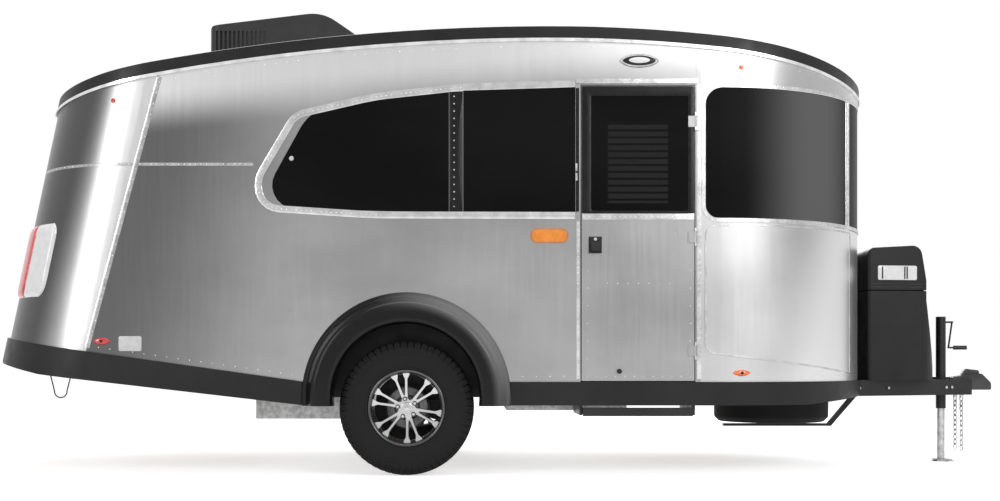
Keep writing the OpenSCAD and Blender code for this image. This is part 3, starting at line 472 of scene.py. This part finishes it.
def sill_line(x):
    """Height of the walls' lower edge, level to just behind the wheel and then climbing."""
    return floor_z + np.maximum(kink_x - x, 0) * tail_rise


def rails(line, way, half, lift, place):
    """The edges of a flat strip with eased sides, as wide as twice the half, along a line that runs this way.
    Place takes a point's two measures and its height to the surface that the strip lies on."""
    rows = [(-1, -0.001), (-1, lift * 0.6), (-0.86, lift), (0.86, lift), (1, lift * 0.6), (1, -0.001)]
    aside = unit(np.stack([-way[:, 1], way[:, 0]], -1)) * half
    return np.stack([place(*(line + aside * k).T, height)[0] for k, height in rows], 1)


def ribbon(line, side, half, lift):
    """A flat strip laid on the skin along a line of [x, z] points, closed underneath."""
    edges = rails(line, np.gradient(line, axis=0), half, lift, lambda x, z, up: on_skin(x, z, side, up))
    return grid(edges, ring_v=True, caps=True)


def paced(line, pitch):
    """Points at an even pitch along a line of [x, z] points."""
    run = np.concatenate([[0], np.cumsum(np.linalg.norm(np.diff(line, axis=0), axis=1))])
    count = max(int(run[-1] / pitch), 1)
    stops = (np.arange(count) + 0.5) * run[-1] / count
    return np.stack([np.interp(stops, run, line[:, k]) for k in (0, 1)], -1)


rivet = head([[0, -0.0006], [0.0034, -0.0006], [0.0032, 0.0007], [0.0021, 0.0015], [0, 0.0018]], 8)


def riveted(lines, pitch, lift=0.0):
    """Rivet heads at an even pitch along each line, on the skin of both sides."""
    return joined([stamped(rivet, *on_skin(*paced(line, pitch).T, side, lift))
                   for side in (-1, 1) for line in lines])


def ramp(tree, value, start, full):
    """A share that runs smoothly from nought where the value is start to one where it is full."""
    return add(tree, "ShaderNodeMapRange", {0: value, 1: start, 2: full},
               interpolation_type="SMOOTHSTEP").outputs[0]


def vectors(tree, operation, *values):
    """What one vector sum makes of these values: a vector, and a number after it."""
    return add(tree, "ShaderNodeVectorMath", dict(enumerate(values)), operation=operation).outputs


def sheet(name, dark, light, rough=0.3):
    """Rolled aluminium in soft blotches, with painted light and shade in its colour. Behind the slanted rear
    seam a painted shade runs from dark at the rear edge to a painted highlight at the seam, and ahead of it a
    painted shade runs from dark to its own tone. Painted highlights make it paler under the roof and round
    the nose. Faces turned towards the middle of the cabin are pale lining."""
    made, tree, shader, spot = finish(name, grey(light), rough, 1.0)
    blotch = cloud(tree, spot, 1.3, (1, 1, 1.4), 5.0, 0.3, 0.7)
    rolled = cloud(tree, spot, 90.0, (1, 1, 0.03), 2.0, 0.2, 0.8)
    apart = vectors(tree, "SUBTRACT", spot, (-0.4, 0, 1.4))[0]
    facing = vectors(tree, "DOT_PRODUCT", add(tree, "ShaderNodeNewGeometry").outputs["True Normal"], apart)[1]
    inner = maths(tree, "LESS_THAN", facing, 0.0)
    lean = vectors(tree, "DOT_PRODUCT", spot, (1, 0, -tan(seam_tilt)))[1]
    seam_lean = seam_x - floor_z * tan(seam_tilt)
    behind = maths(tree, "LESS_THAN", lean, seam_lean)
    rising = vectors(tree, "DOT_PRODUCT", spot, (-0.1, 0, 1))[1]
    # Painted shade and highlight: the rear corner's colour runs from dark at its rear edge to bright by the
    # seam.
    corner = ramp(tree, lean, seam_lean - 0.36, seam_lean - 0.08)
    # Painted shade: the side's colour is darkened just ahead of the seam.
    painted_seam_shade = ramp(tree, lean, seam_lean, seam_lean + 1.1)
    metal = between(tree, painted_seam_shade, grey(dark * 0.42), between(tree, blotch, grey(dark), grey(light)))
    # Painted highlight: the colour is paler towards the roof.
    metal = between(tree, ramp(tree, rising, 2.06, 2.32), metal, grey(min(light * 1.7, 0.6)))
    # Painted highlight: the colour is paler round the nose.
    metal = between(tree, ramp(tree, lean, 1.15, 1.5), metal, grey(0.66))
    # The rear corner's tone: blotches with painted shade at its rear edge and a painted highlight by the
    # seam.
    blotched_painted_corner_light = between(tree, corner, grey(0.09), between(tree, blotch, grey(0.42), grey(0.54)))
    outer = between(tree, behind, metal, blotched_painted_corner_light)
    tree.links.new(between(tree, inner, outer, (0.6, 0.58, 0.54)), shader.inputs["Base Color"])
    tree.links.new(spread(tree, inner, 1.0, 0.0), shader.inputs["Metallic"])
    tree.links.new(spread(tree, rolled, rough * 0.9, rough * 1.15), shader.inputs["Roughness"])
    relief(tree, shader, blotch, 0.04, 0.002)
    return made


side_sheet = sheet("side_sheet", 0.24, 0.34)
# The nose sheet's paler tones are painted light: the same aluminium as the sides, made brighter where it
# turns.
nose_sheet_painted_light = sheet("nose_sheet_painted_light", 0.36, 0.48)
roof_sheet = sheet("roof_sheet", 0.34, 0.46, 0.36)
dress(side_sheet, "door_side_wall", "far_side_wall", "entry_door", "rear_wall", "rear_hatch")
dress(nose_sheet_painted_light, "nose_wall", "stone_guards")
dress(roof_sheet, "roof_panel")
strip_metal = coated("strip_metal", grey(0.3), grey(0.42), 0.28, metal=1.0, patch=20.0, grain=400.0,
                     raised=0.05)
rivet_metal = coated("rivet_metal", grey(0.4), grey(0.6), 0.3, metal=1.0, patch=30.0, raised=0.05)

seam_z = np.linspace(0.7, 2.178, 40)
seam = np.stack([seam_x + (seam_z - floor_z) * tan(seam_tilt), seam_z], -1)
belt = np.linspace((-2.7, 1.701), (-1.46, 1.701), 50)
put("seam_strips", joined([ribbon(seam, side, 0.014, 0.0016) for side in (-1, 1)]
                          + [ribbon(belt, side, 0.008, 0.001) for side in (-1, 1)]),
    "trailer", strip_metal, sharp=20)
feet = [np.stack([x, sill_line(x) + 0.03], -1) for x in
        (np.linspace(-2.4, -1.22, 30), np.linspace(-0.03, 0.27, 6), np.linspace(1.01, 1.86, 30))]
eaves_x = np.linspace(-1.98, 1.7, 60)
eaves = np.stack([eaves_x, roof_line(eaves_x) - 0.112], -1)
put("seam_rivets", joined([riveted([seam + (0.006, 0)], 0.059, 0.0016), riveted([belt], 0.03, 0.001),
                           riveted(feet, 0.061), riveted([eaves], 0.061)]), "trailer", rivet_metal)

# ---- Mouldings ----
# Black plastic sill mouldings, bumper and wheel flares, screwed on from behind, and the roof's black edge
# with a bright gutter rail under it.
sill_plastic = coated("sill_plastic", grey(0.006), grey(0.011), 0.4, grain=380.0, raised=0.16,
                      Specular_IOR_Level=0.22)


def within(tree, value, start, full, fading, end):
    """A share that climbs to one between the first two values and falls to nought between the last two."""
    return maths(tree, "MULTIPLY", ramp(tree, value, start, full), ramp(tree, value, end, fading))


# The flares carry a painted highlight: their colour is paler where they swell, ahead of and above the hub,
# where a bulge would catch the light.
flare_gloss_painted_sheen, tree, shader, spot = finish("flare_gloss_painted_sheen", grey(0.005), 0.24, Specular_IOR_Level=0.2)
from_hub = vectors(tree, "SUBTRACT", spot, (axle[0], 0, 0.432))[0]
from_hub = vectors(tree, "MULTIPLY", from_hub, (1, 0, 1))[0]
reach = vectors(tree, "LENGTH", from_hub)[1]
upward = vectors(tree, "DOT_PRODUCT", vectors(tree, "NORMALIZE", from_hub)[0], (0.75, 0, 0.66))[1]
# Painted highlight where the flare swells.
swell = maths(tree, "MULTIPLY", within(tree, reach, 0.46, 0.535, 0.55, 0.6), ramp(tree, upward, 0.35, 1.0))
tree.links.new(between(tree, swell, grey(0.004), grey(0.15)), shader.inputs["Base Color"])
relief(tree, shader, cloud(tree, spot, 300.0), 0.05, 0.0004)
gutter_metal = coated("gutter_metal", grey(0.62), grey(0.8), 0.22, metal=1.0, patch=15.0, raised=0.05)
dress(sill_plastic, "side_sills", "rear_bumper", "wheel_boxes", "roof_edge")
dress(flare_gloss_painted_sheen, "wheel_flares")
dress(gutter_metal, "gutter_rail")

# ---- Windows ----
# Dark tinted panes bonded into the side walls and wrapped round the nose, each framed by a bright riveted
# trim, with black strips between them.


def tinted(name, rough, darkest, **fixed):
    """Near-black glass in soft patches of tone. Returns it with its nodes, its shader, the piece's own
    coordinates, the patches and their colour."""
    made, tree, shader, spot = finish(name, grey(0.006), rough, **fixed)
    haze = cloud(tree, spot, 1.2, (0.7, 1, 1.5), 3.0)
    return made, tree, shader, spot, haze, between(tree, haze, grey(0.002), grey(darkest))


pane_tint, tree, shader, spot, haze, dark = tinted("pane_tint", 0.1, 0.006, Alpha=0.955,
                                                   Specular_IOR_Level=0.07)
tree.links.new(dark, shader.inputs["Base Color"])
tree.links.new(spread(tree, haze, 0.03, 0.07), shader.inputs["Roughness"])
relief(tree, shader, haze, 0.02, 0.002)
trim_metal = coated("trim_metal", grey(0.44), grey(0.58), 0.24, metal=1.0, patch=12.0, grain=350.0,
                    raised=0.04)
dress(pane_tint, "side_glass", "hatch_glass")

# The nose panes have a painted sheen: an upright band of paler colour where they turn, standing in for a
# reflection.
nose_tint, tree, shader, spot, haze, dark = tinted("nose_tint", 0.34, 0.005, Specular_IOR_Level=0.03)
painted_nose_sheen = within(tree, add(tree, "ShaderNodeSeparateXYZ", {0: spot}).outputs[0], 1.2, 1.62, 1.72, 1.96)
tree.links.new(between(tree, painted_nose_sheen, dark, grey(0.095)), shader.inputs["Base Color"])
dress(nose_tint, "nose_glass")

# The door's pane has painted light: its colour is a little paler in stripes where the slats of its blind lie
# behind it.
slat_pitch = 0.0377
door_tint, tree, shader, spot, haze, dark = tinted("door_tint", 0.1, 0.006, Alpha=0.955,
                                                   Specular_IOR_Level=0.05)
axes = add(tree, "ShaderNodeSeparateXYZ", {0: spot}).outputs
slat = maths(tree, "FRACT", maths(tree, "DIVIDE", axes[2], slat_pitch))
painted_blind_light = maths(tree, "MULTIPLY", within(tree, axes[0], 0.471, 0.474, 0.799, 0.802),
              within(tree, axes[2], 1.486, 1.489, 1.928, 1.931))
painted_blind_light = maths(tree, "MULTIPLY", painted_blind_light, within(tree, slat, 0.1, 0.22, 0.78, 0.9))
tree.links.new(between(tree, painted_blind_light, dark, grey(0.017)), shader.inputs["Base Color"])
dress(door_tint, "door_glass")
dress(trim_metal, "window_trim", "hinge_knuckles")


def rounded(rows, steps=7):
    """A closed outline whose corners are rounded, from rows of x, z and corner radius."""
    rows = np.array(rows, float)
    spots = rows[:, :2]
    before, after = (unit(np.roll(spots, k, 0) - spots) for k in (1, -1))
    half = np.arccos(np.clip((before * after).sum(1), -1, 1)) / 2
    centre = spots + unit(before + after) * (rows[:, 2] / np.sin(half))[:, None]
    start, end = (spots + way * (rows[:, 2] / np.tan(half))[:, None] - centre for way in (before, after))
    first = np.arctan2(start[:, 1], start[:, 0])
    turn = (np.arctan2(end[:, 1], end[:, 0]) - first + 3 * pi) % (2 * pi) - pi
    angle = first[:, None] + turn[:, None] * np.linspace(0, 1, steps)
    arc = centre[:, None] + rows[:, 2, None, None] * np.stack([np.cos(angle), np.sin(angle)], -1)
    return arc.reshape(-1, 2)


def grown(rows, far):
    """The same anticlockwise outline with every edge moved outwards."""
    rows = np.array(rows, float)
    u = unit(rows[:, :2] - np.roll(rows, 1, 0)[:, :2])
    v = unit(np.roll(rows, -1, 0)[:, :2] - rows[:, :2])
    miter = np.stack([u[:, 1] + v[:, 1], -u[:, 0] - v[:, 0]], -1) / (1 + (u * v).sum(1, keepdims=True))
    return np.column_stack([rows[:, :2] + miter * far, rows[:, 2] + far * (rows[:, 2] > 0)])


def box_rows(x0, x1, z0, z1, r=0.002):
    """An upright rectangle's four corners, anticlockwise, with one corner radius."""
    return [[x0, z0, r], [x1, z0, r], [x1, z1, r], [x0, z1, r]]


x_door = 0.323
band_rows = np.array([[-0.028, 1.44, 0.008], [-0.028, 2.121, 0.008], [-0.64, 2.102, 0.001],
                      [-1.12, 2.05, 1.4], [-1.545, 1.952, 0.1], [-1.738, 1.625, 0.15],
                      [-1.738, 1.482, 0.1], [-1.141, 1.443, 3.000]]) + (x_door, 0, 0)


def on_wall(rings, side):
    """Outlines of x and z with their heights, set off a flat side wall."""
    return np.stack([np.insert(line, 1, side * (half_w + y), axis=1) for line, y in rings], 1)


def band(inner, outer, side, low, high, closed=True):
    """A flat frame with eased edges between two like outlines, standing on a side wall from low to high."""
    ease, brim = (outer - inner) * 0.06, high - 0.001
    rings = [(inner, low), (inner, brim), (inner + ease, high), (outer - ease, high), (outer, brim),
             (outer, low)]
    return grid(on_wall(rings, side), ring_u=closed, ring_v=True, caps=not closed)


def opened(line):
    """The outline from its third corner on, its ends carried straight on to the pane's edge by the door."""
    x = x_door - 0.03
    top = line[14] + (line[13] - line[14]) * (x - line[14, 0]) / (line[13, 0] - line[14, 0])
    foot = line[-1] + (line[0] - line[-1]) * (x - line[-1, 0]) / (line[0, 0] - line[-1, 0])
    return np.concatenate([[top], line[14:], [foot]])


nose_flat = 0.07


def on_nose(w, z, lift=0.0):
    """Point and outward normal at a distance w round the nose from its middle: flat at first, then a quarter
    circle of one metre, then the flat side."""
    a = np.maximum(np.abs(w) - nose_flat, 0)
    turn, past = np.minimum(a, pi / 2), np.maximum(a - pi / 2, 0)
    out = np.stack([np.cos(turn), np.sign(w) * np.sin(turn), 0 * w], -1)
    flat = np.stack([nose_x - past, np.sign(w) * np.minimum(np.abs(w), nose_flat), z + 0 * w], -1)
    return flat + out * (1.0, 1.0, 0) + out * lift, out


def hoop(line, half, lift):
    """A closed flat strip on the nose, along an outline of [w, z] points."""
    way = np.roll(line, 1, 0) - np.roll(line, -1, 0)
    return grid(rails(line, way, half, lift, on_nose), ring_u=True, ring_v=True)


def finer(line, pitch=0.03):
    """A closed outline with its long edges cut into short ones: each corner is repeated once a step and moved
    on by the step's share of its edge."""
    edge = np.roll(line, -1, 0) - line
    count = np.maximum((np.linalg.norm(edge, axis=1) / pitch).astype(int), 1)
    step = np.arange(count.sum()) - np.repeat(np.cumsum(count) - count, count)
    share = (step / np.repeat(count, count))[:, None]
    return np.repeat(line, count, 0) + np.repeat(edge, count, 0) * share


inner_line, outer_line, mid_line = (rounded(grown(band_rows, far)) for far in (0, 0.038, 0.019))
side_w = nose_flat + pi / 2 + 0.084
pane_w = nose_flat + 0.6613
pane_foot, pane_head = 1.408, 2.12
side_rows = [[pane_w, pane_foot, 0.008], [side_w, pane_foot, 0.07], [side_w, pane_head, 0.09],
             [pane_w, pane_head, 0.008]]
front_rows = box_rows(-0.675, 0.675, pane_foot, pane_head, 0.008)
side_loop, front_loop = (finer(rounded(grown(rows, 0.012))) for rows in (side_rows, front_rows))
loops = [side_loop, side_loop[::-1] * (-1, 1), front_loop]
bands = [band(opened(inner_line), opened(outer_line), -1, 0.0003, 0.004, closed=False),
         band(inner_line, outer_line, 1, 0.0003, 0.004)] + [hoop(line, 0.012, 0.004) for line in loops]
window_band = put("window_band", joined(bands), "trailer", trim_metal)
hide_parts("window_trim")
trim_points = [paced(opened(mid_line)[1:-1], 0.027), paced(np.concatenate([mid_line, mid_line[:1]]), 0.027)]
trim_heads = [stamped(rivet, *on_skin(*at.T, side, 0.004)) for at, side in zip(trim_points, (-1, 1))]
trim_heads += [stamped(rivet, *on_nose(*paced(line, 0.032).T, 0.004)) for line in loops]
put("trim_rivets", joined(trim_heads), "trailer", rivet_metal)

pillar_black = coated("pillar_black", grey(0.003), grey(0.006), 0.3, raised=0.04, Specular_IOR_Level=0.2)


def plate(rows, side, low, high):
    """A flat plate with an eased edge, standing on a side wall, from rows of x, z and corner radius."""
    line = rounded(rows)
    middle = 0 * line + line.mean(0)
    inset = line + (middle - line) * 0.02
    rings = [(middle, low), (line, low), (line, high - 0.0006), (inset, high), (middle, high)]
    return grid(on_wall(rings, side), ring_u=True)


strips = [plate(box_rows(x_door - 0.716, x_door - 0.642, 1.442, 2.096), side, 0.0003, 0.0036)
          for side in (-1, 1)]
strips.append(plate(box_rows(x_door - 0.026, x_door - 0.008, 1.442, 2.116), -1, 0.0003, 0.0036))
put("window_pillars", joined(strips), "trailer", pillar_black)
screw_x, screw_y = x_door - 0.69, -half_w - 0.0034
screw_at = np.linspace((screw_x, screw_y, 1.47), (screw_x, screw_y, 2.07), 16)
screw = head([[0, 0], [0.0042, 0], [0.004, 0.001], [0.0012, 0.0014], [0, 0.0006]], 10)
put("pillar_screws", stamped(screw, screw_at, (0, -1, 0)), "trailer", zinc_steel)
knob = head([[0, 0], [0.013, 0], [0.013, 0.006], [0.01, 0.009], [0, 0.01]], 24)
put("window_knob", stamped(knob, [[-1.254, -half_w, 1.732]], (0, -1, 0)), "trailer", zinc_steel)

# ---- Entry door ----
# The door's frame is riveted round the opening: a hinge strip on its front side, a narrow strip behind it, a
# drip rail over it and a gusset. Its own skin has a black surround and a trim under the glass, and a slatted
# blind hangs inside.
frame_strips = [plate(box_rows(0.9585, 0.9815, 0.53, 2.135), -1, 0.0003, 0.002),
                plate(box_rows(0.3, 0.3185, 0.53, 1.39), -1, 0.0003, 0.002),
                plate(box_rows(0.296, 0.966, 2.14, 2.166, 0.006), -1, 0.0003, 0.0085),
                plate([[0.985, 2.098, 0.004], [1.046, 2.16, 0.004], [0.985, 2.16, 0.004]], -1, 0.0003,
                      0.0018)]
put("door_frame_strips", joined(frame_strips), "trailer", trim_metal)
frame_rivets = [np.linspace((x, 0.545), (x, 2.12), 54) for x in (0.964, 0.9765)]
frame_rivets.append(np.linspace((0.3092, 0.545), (0.3092, 1.375), 29))
frame_rivets.append(np.linspace((0.955, 2.19), (0.955, 2.345), 8))
put("door_frame_rivets", joined([stamped(rivet, *on_skin(*at.T, -1, 0.002)) for at in frame_rivets]),
    "trailer", rivet_metal)
put("door_glass_trim", plate(box_rows(0.331, 0.942, 1.397, 1.431), -1, 0.0003, 0.0035), "door", trim_metal)
pane_edge = rounded(box_rows(0.38, 0.91, 1.446, 2.074, 0.014))
door_edge = rounded(box_rows(0.33, 0.943, 1.4316, 2.127, 0.008))
put("door_glass_surround", band(pane_edge, door_edge, -1, 0.0003, 0.0024), "door", pillar_black)
trim_row = np.linspace((0.34, 1.414), (0.935, 1.414), 22)
door_rows = [np.linspace((0.469, 1.051), (0.809, 1.051), 7),
             np.linspace((0.361, 0.5436), (0.923, 0.5436), 12)]
door_rows += [np.linspace((x, 0.64), (x, 1.1215), 6) for x in (0.361, 0.923)]
door_heads = [stamped(rivet, *on_skin(*at.T, -1)) for at in door_rows]
door_heads.append(stamped(rivet, *on_skin(*trim_row.T, -1, 0.0035)))
put("door_rivets", joined(door_heads), "door", rivet_metal)
across, bow = np.meshgrid(np.linspace(0.472, 0.8, 4), np.linspace(-1, 1, 5), indexing="ij")
slats = [grid(np.stack([across, -1.042 + 0.004 * bow ** 2, z + 0.0145 * bow], -1))
         for z in np.linspace(1.5, 1.915, 12)]
blind_cloth = coated("blind_cloth", grey(0.3), grey(0.42), 0.7, patch=8.0, grain=500.0)
put("door_blind", joined(slats), "door", blind_cloth, closed=False)

# ---- Badge, handle and plates ----
# A bare orange enamel pill with a thin blue line is stuck on behind the door. The door's black paddle latch
# is screwed through its skin, and a blank plate is screwed on ahead of the low rear marker.
badge_enamel = coated("badge_enamel", (0.62, 0.19, 0.02), (0.74, 0.25, 0.03), 0.25, patch=20.0, raised=0.03)
badge_blue = coated("badge_blue", (0.02, 0.12, 0.2), (0.03, 0.17, 0.27), 0.3, patch=40.0, raised=0.03)
latch_black = coated("latch_black", grey(0.004), grey(0.008), 0.35, grain=400.0, raised=0.08,
                     Specular_IOR_Level=0.3)
plate_white = coated("plate_white", grey(0.48), grey(0.53), 0.35, patch=30.0, raised=0.03)
dress(badge_enamel, "side_badge")
dress(latch_black, "door_handle")
dress(plate_white, "rear_grab")
pill = box_rows(x_door - 0.275, x_door - 0.065, 1.27, 1.352, 0.038)
line_in, line_out = (rounded(grown(pill, -inset), 9) for inset in (0.0065, 0.0035))
put("badge_line", band(line_in, line_out, -1, 0.004, 0.0046), "trailer", badge_blue)


def slab(width, height, thick, corner):
    """A flat plate about its own middle with rounded corners and an eased edge, its face along +Z."""
    line = rounded(box_rows(-width / 2, width / 2, -height / 2, height / 2, corner))
    ease, sunk = min(thick * 0.4, 0.002), -0.0002
    rings = [(0, sunk), (1, sunk), (1, thick - ease), (1 - 2 * ease / height, thick), (0, thick)]
    return grid(np.stack([np.insert(line * k, 2, z, axis=1) for k, z in rings], 1), ring_u=True)


paddle = joined([stamped(slab(0.052, 0.046, 0.016, 0.01), [[0.403, -1.0935, 1.248]], (0, -1, 0.12)),
                 stamped(slab(0.066, 0.086, 0.004, 0.012), [[0.403, -1.0798, 1.26]], (0, -1, 0))])
put("latch_paddle", paddle, "door", latch_black)
lock = head([[0, 0], [0.009, 0], [0.009, 0.002], [0.0075, 0.003], [0, 0.003]], 20)
put("latch_lock", stamped(lock, [[0.403, -1.0835, 1.29]], (0, -1, 0)), "door", zinc_steel)
put("blank_plate", stamped(slab(0.125, 0.082, 0.003, 0.01), [[-2.134, -half_w - 0.0003, 0.722]], (0, -1, 0)),
    "trailer", plate_white)

# ---- Lamps ----
# Moulded plastic lenses screwed on: wrap-round tail lamps with a red rear edge, pointed-oval side markers,
# small round markers near the roof, an oval lamp over the door and long clear lamps on the gas locker's lid.
amber = coated("amber_lens", (0.65, 0.1, 0.01), (0.8, 0.16, 0.02), 0.15, patch=60.0, raised=0.03,
               Coat_Weight=0.6)
red_lens = coated("red_lens", (0.45, 0.01, 0.01), (0.62, 0.02, 0.015), 0.15, patch=60.0, raised=0.03,
                  Coat_Weight=0.6)
clear_lens = coated("clear_lens", grey(0.62), grey(0.68), 0.16, patch=25.0, raised=0.05, Coat_Weight=0.6)


def lens(x, z, width, height, side, rise, point=1.0, base=0.0):
    """A domed lens on the skin: an oval that falls to its base at its edge, with ends the sharper the greater
    its point is."""
    r, t = np.meshgrid(np.sin(np.linspace(0, pi / 2, 7)), np.linspace(0, 2 * pi, 32, endpoint=False),
                       indexing="ij")
    high = base + rise * np.sqrt(np.clip(1 - r ** 2, 0, 1))
    across, up = r * width / 2 * np.cos(t), r * height / 2 * np.sign(np.sin(t)) * np.abs(np.sin(t)) ** point
    top = on_skin(x + across, z + up, side)
    points = top[0] + top[1] * high[..., None]
    foot = on_skin(x + across[::-1], z + up[::-1], side, -0.0005)[0]
    return grid(np.concatenate([points, foot], 0), ring_v=True)


front_low, rear_low = (1.203, 0.562), (-2.29, 0.735)
front_high, rear_high = (1.2, 2.23), (-2.231, 2.052)
ambers = [lens(*front_low, 0.098, 0.036, side, 0.011, 1.5) for side in (-1, 1)]
ambers += [lens(*front_high, 0.026, 0.026, side, 0.009) for side in (-1, 1)]
marker_piece = put("amber_markers", joined(ambers), "trailer", amber, sharp=60)
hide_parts("marker_lamps")
reds = [lens(*rear_low, 0.094, 0.04, side, 0.011, 1.5) for side in (-1, 1)]
reds += [lens(*rear_high, 0.026, 0.026, side, 0.009) for side in (-1, 1)]
put("red_markers", joined(reds), "trailer", red_lens, sharp=60)
marker_screw = head([[0, 0], [0.0085, 0], [0.0085, 0.001], [0, 0.002]], 14)
screws = [stamped(marker_screw, on_skin(*place, side, 0.0107)[0], (0, side, 0))
          for place in (front_low, rear_low) for side in (-1, 1)]
put("marker_screws", joined(screws), "trailer", latch_black)
porch = (0.642, 2.264)
bezel = put("porch_bezel", lens(*porch, 0.218, 0.076, -1, 0.02, 1.3), "trailer", strip_metal,
            sharp=60)
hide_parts("porch_lamp")
put("porch_gasket", lens(*porch, 0.18, 0.056, -1, 0.01, 1.2, 0.0125), "trailer", latch_black,
    sharp=60)
put("porch_lens", lens(*porch, 0.124, 0.036, -1, 0.01, 1.1, 0.0165), "trailer", clear_lens,
    sharp=60)


def tail_lens(side, low, high, swell):
    """A piece of the leaning rear corner, from the rear face round to a slanted front edge, raised off the
    skin and falling back to it at its edges. Low and high are shares of the way round."""
    u, v = np.meshgrid(np.linspace(0, 1, 25), np.linspace(0, 1, 25), indexing="ij")
    foot, top = 0.985, 1.392
    z = foot + (top - foot) * v
    front = -2.64 + 0.086 * v - 0.03 * (2 * v - 1) ** 8
    reach = (front - x_wall - (z - wall_foot) * tan(rake)) * cos(rake)
    first, last = radians(24), np.arccos(np.clip(1 - reach / corner_r, -1, 1))
    phi = first + (last - first) * (low + (high - low) * u)
    edge = (1 - (2 * u - 1) ** 10) * (1 - (2 * v - 1) ** 10)
    made = []
    for rise in (swell * np.sqrt(np.clip(edge, 0, 1)), 0 * edge - 0.001):
        back = corner_r * (1 - np.cos(phi)) - rise * np.cos(phi)
        y = side * (half_w - corner_r + (corner_r + rise) * np.sin(phi))
        up = (z - wall_foot + back * sin(rake)) / cos(rake)
        made.append(np.stack([x_wall + back * cos(rake) + up * sin(rake), y, z], -1))
    return grid(np.concatenate([made[0], made[1][::-1]], 0), ring_u=True)


tails = put("tail_lamp_clear", joined([tail_lens(side, 0.42, 1.0, 0.02) for side in (-1, 1)]), "trailer",
            clear_lens, sharp=60)
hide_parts("tail_lamps")
put("tail_lamp_red", joined([tail_lens(side, 0.0, 0.44, 0.021) for side in (-1, 1)]), "trailer", red_lens,
    sharp=60)


lamp_x, lamp_z = 2.288, 1.157
lid_half, lid_taper, lid_out = 0.3553, 0.136, np.array([[0.135, -0.991, 0], [0.135, 0.991, 0]])


def on_flank(shape, x, z, lift=0.0):
    """Copies of a small shape on both flanks of the locker's lid, which close in towards the front."""
    reach = lid_half - lid_taper * (x - lamp_x) + lift
    return stamped(shape, [[x, -reach, z], [x, reach, z]], lid_out)


lid_lens = put("lid_lamp_lens", on_flank(slab(0.246, 0.086, 0.007, 0.01), lamp_x, lamp_z, 0.0003), "lid",
               clear_lens)
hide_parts("lid_lamp")
bars = [on_flank(slab(0.007, 0.074, 0.003, 0.001), lamp_x + along, lamp_z, 0.0074)
        for along in (-0.095, 0.045, 0.06)]
put("lid_lamp_bars", joined(bars), "lid", latch_black)

# ---- Stone guards ----
# Bright sheets bonded over the lower front corners keep off the stones that the tow car throws up. A rounded
# piping runs round the edge of each.
guard_rows = [[0.6634, 0.553, 0.008], [side_w, 0.673, 0.06], [side_w, 1.368, 0.06], [0.6634, 1.368, 0.008]]
guard_loop = finer(rounded(guard_rows))
guard_hoops = [hoop(line, 0.005, 0.0055) for line in (guard_loop, guard_loop[::-1] * (-1, 1))]
put("guard_piping", joined(guard_hoops), "trailer", trim_metal)

# ---- Roof cooler and gas locker ----
# A black moulded hood is bolted down over the air conditioner. The gas locker is a black plastic moulding
# with a ribbed lid, and stands on the tow frame round two painted steel bottles.
hood_black = coated("hood_black", grey(0.01), grey(0.02), 0.45, grain=260.0, raised=0.2,
                    Specular_IOR_Level=0.3)
bottle_white = coated("bottle_white", grey(0.6), grey(0.72), 0.35, patch=6.0, grain=200.0)
dress(hood_black, "roof_cooler")
dress(bottle_white, "gas_bottles")
dress(sill_plastic, "gas_locker", "locker_lid")
ribs = [on_flank(slab(0.318, 0.007, 0.004, 0.0015), lamp_x, z) for z in (1.072, 1.09)]
put("lid_ribs", joined(ribs), "lid", hood_black)

# ---- Small fittings ----
# A rubber door stop is screwed on low on the door, and two zinc keepers on the post behind it. The rear hatch
# has a black paddle handle, and screws round its skin hold it to its frame.
rake_up, rake_out = np.array([sin(rake), 0, cos(rake)]), np.array([-cos(rake), 0, sin(rake)])


def on_rear(y, w, lift=0.0):
    """Points on the leaning rear face: so far out to a side, so far up the slope, and so far off the skin."""
    y, w = np.broadcast_arrays(y, w)
    base = np.array([x_wall, 0, wall_foot]) + rake_out * lift
    return base + w[..., None] * rake_up + y[..., None] * np.array([0, 1, 0])


stop = head([[0, 0], [0.013, 0], [0.013, 0.012], [0.011, 0.015], [0, 0.015]], 20)
put("door_stop", stamped(stop, [[0.534, -1.0795, 0.571]], (0, -1, 0)), "door", latch_black)
keeper_at = on_skin(np.full(2, 0.3), np.array([1.632, 1.684]), -1, 0.001)[0]
put("post_keepers", stamped(slab(0.012, 0.042, 0.006, 0.002), keeper_at, (0, -1, 0)), "trailer", zinc_steel)
grip_at = on_rear(0.0, 0.15, 0.001)
grip = [stamped(part, [grip_at], rake_out, rake_up) for part in (slab(0.15, 0.06, 0.006, 0.016),
                                                                 slab(0.11, 0.03, 0.016, 0.01))]
put("hatch_grip", joined(grip), "hatch", latch_black)
hatch_screw = head([[0, 0], [0.005, 0], [0.0046, 0.0014], [0, 0.0022]], 12)
hatch_at = [on_rear(np.linspace(-0.4, 0.4, 12), 0.085, 0.0005)]
hatch_at += [on_rear(y, np.linspace(0.13, 1.1, 16), 0.0005) for y in (0.405, -0.405)]
hatch_screws = stamped(hatch_screw, np.concatenate(hatch_at), rake_out)
put("hatch_screws", hatch_screws, "hatch", rivet_metal)
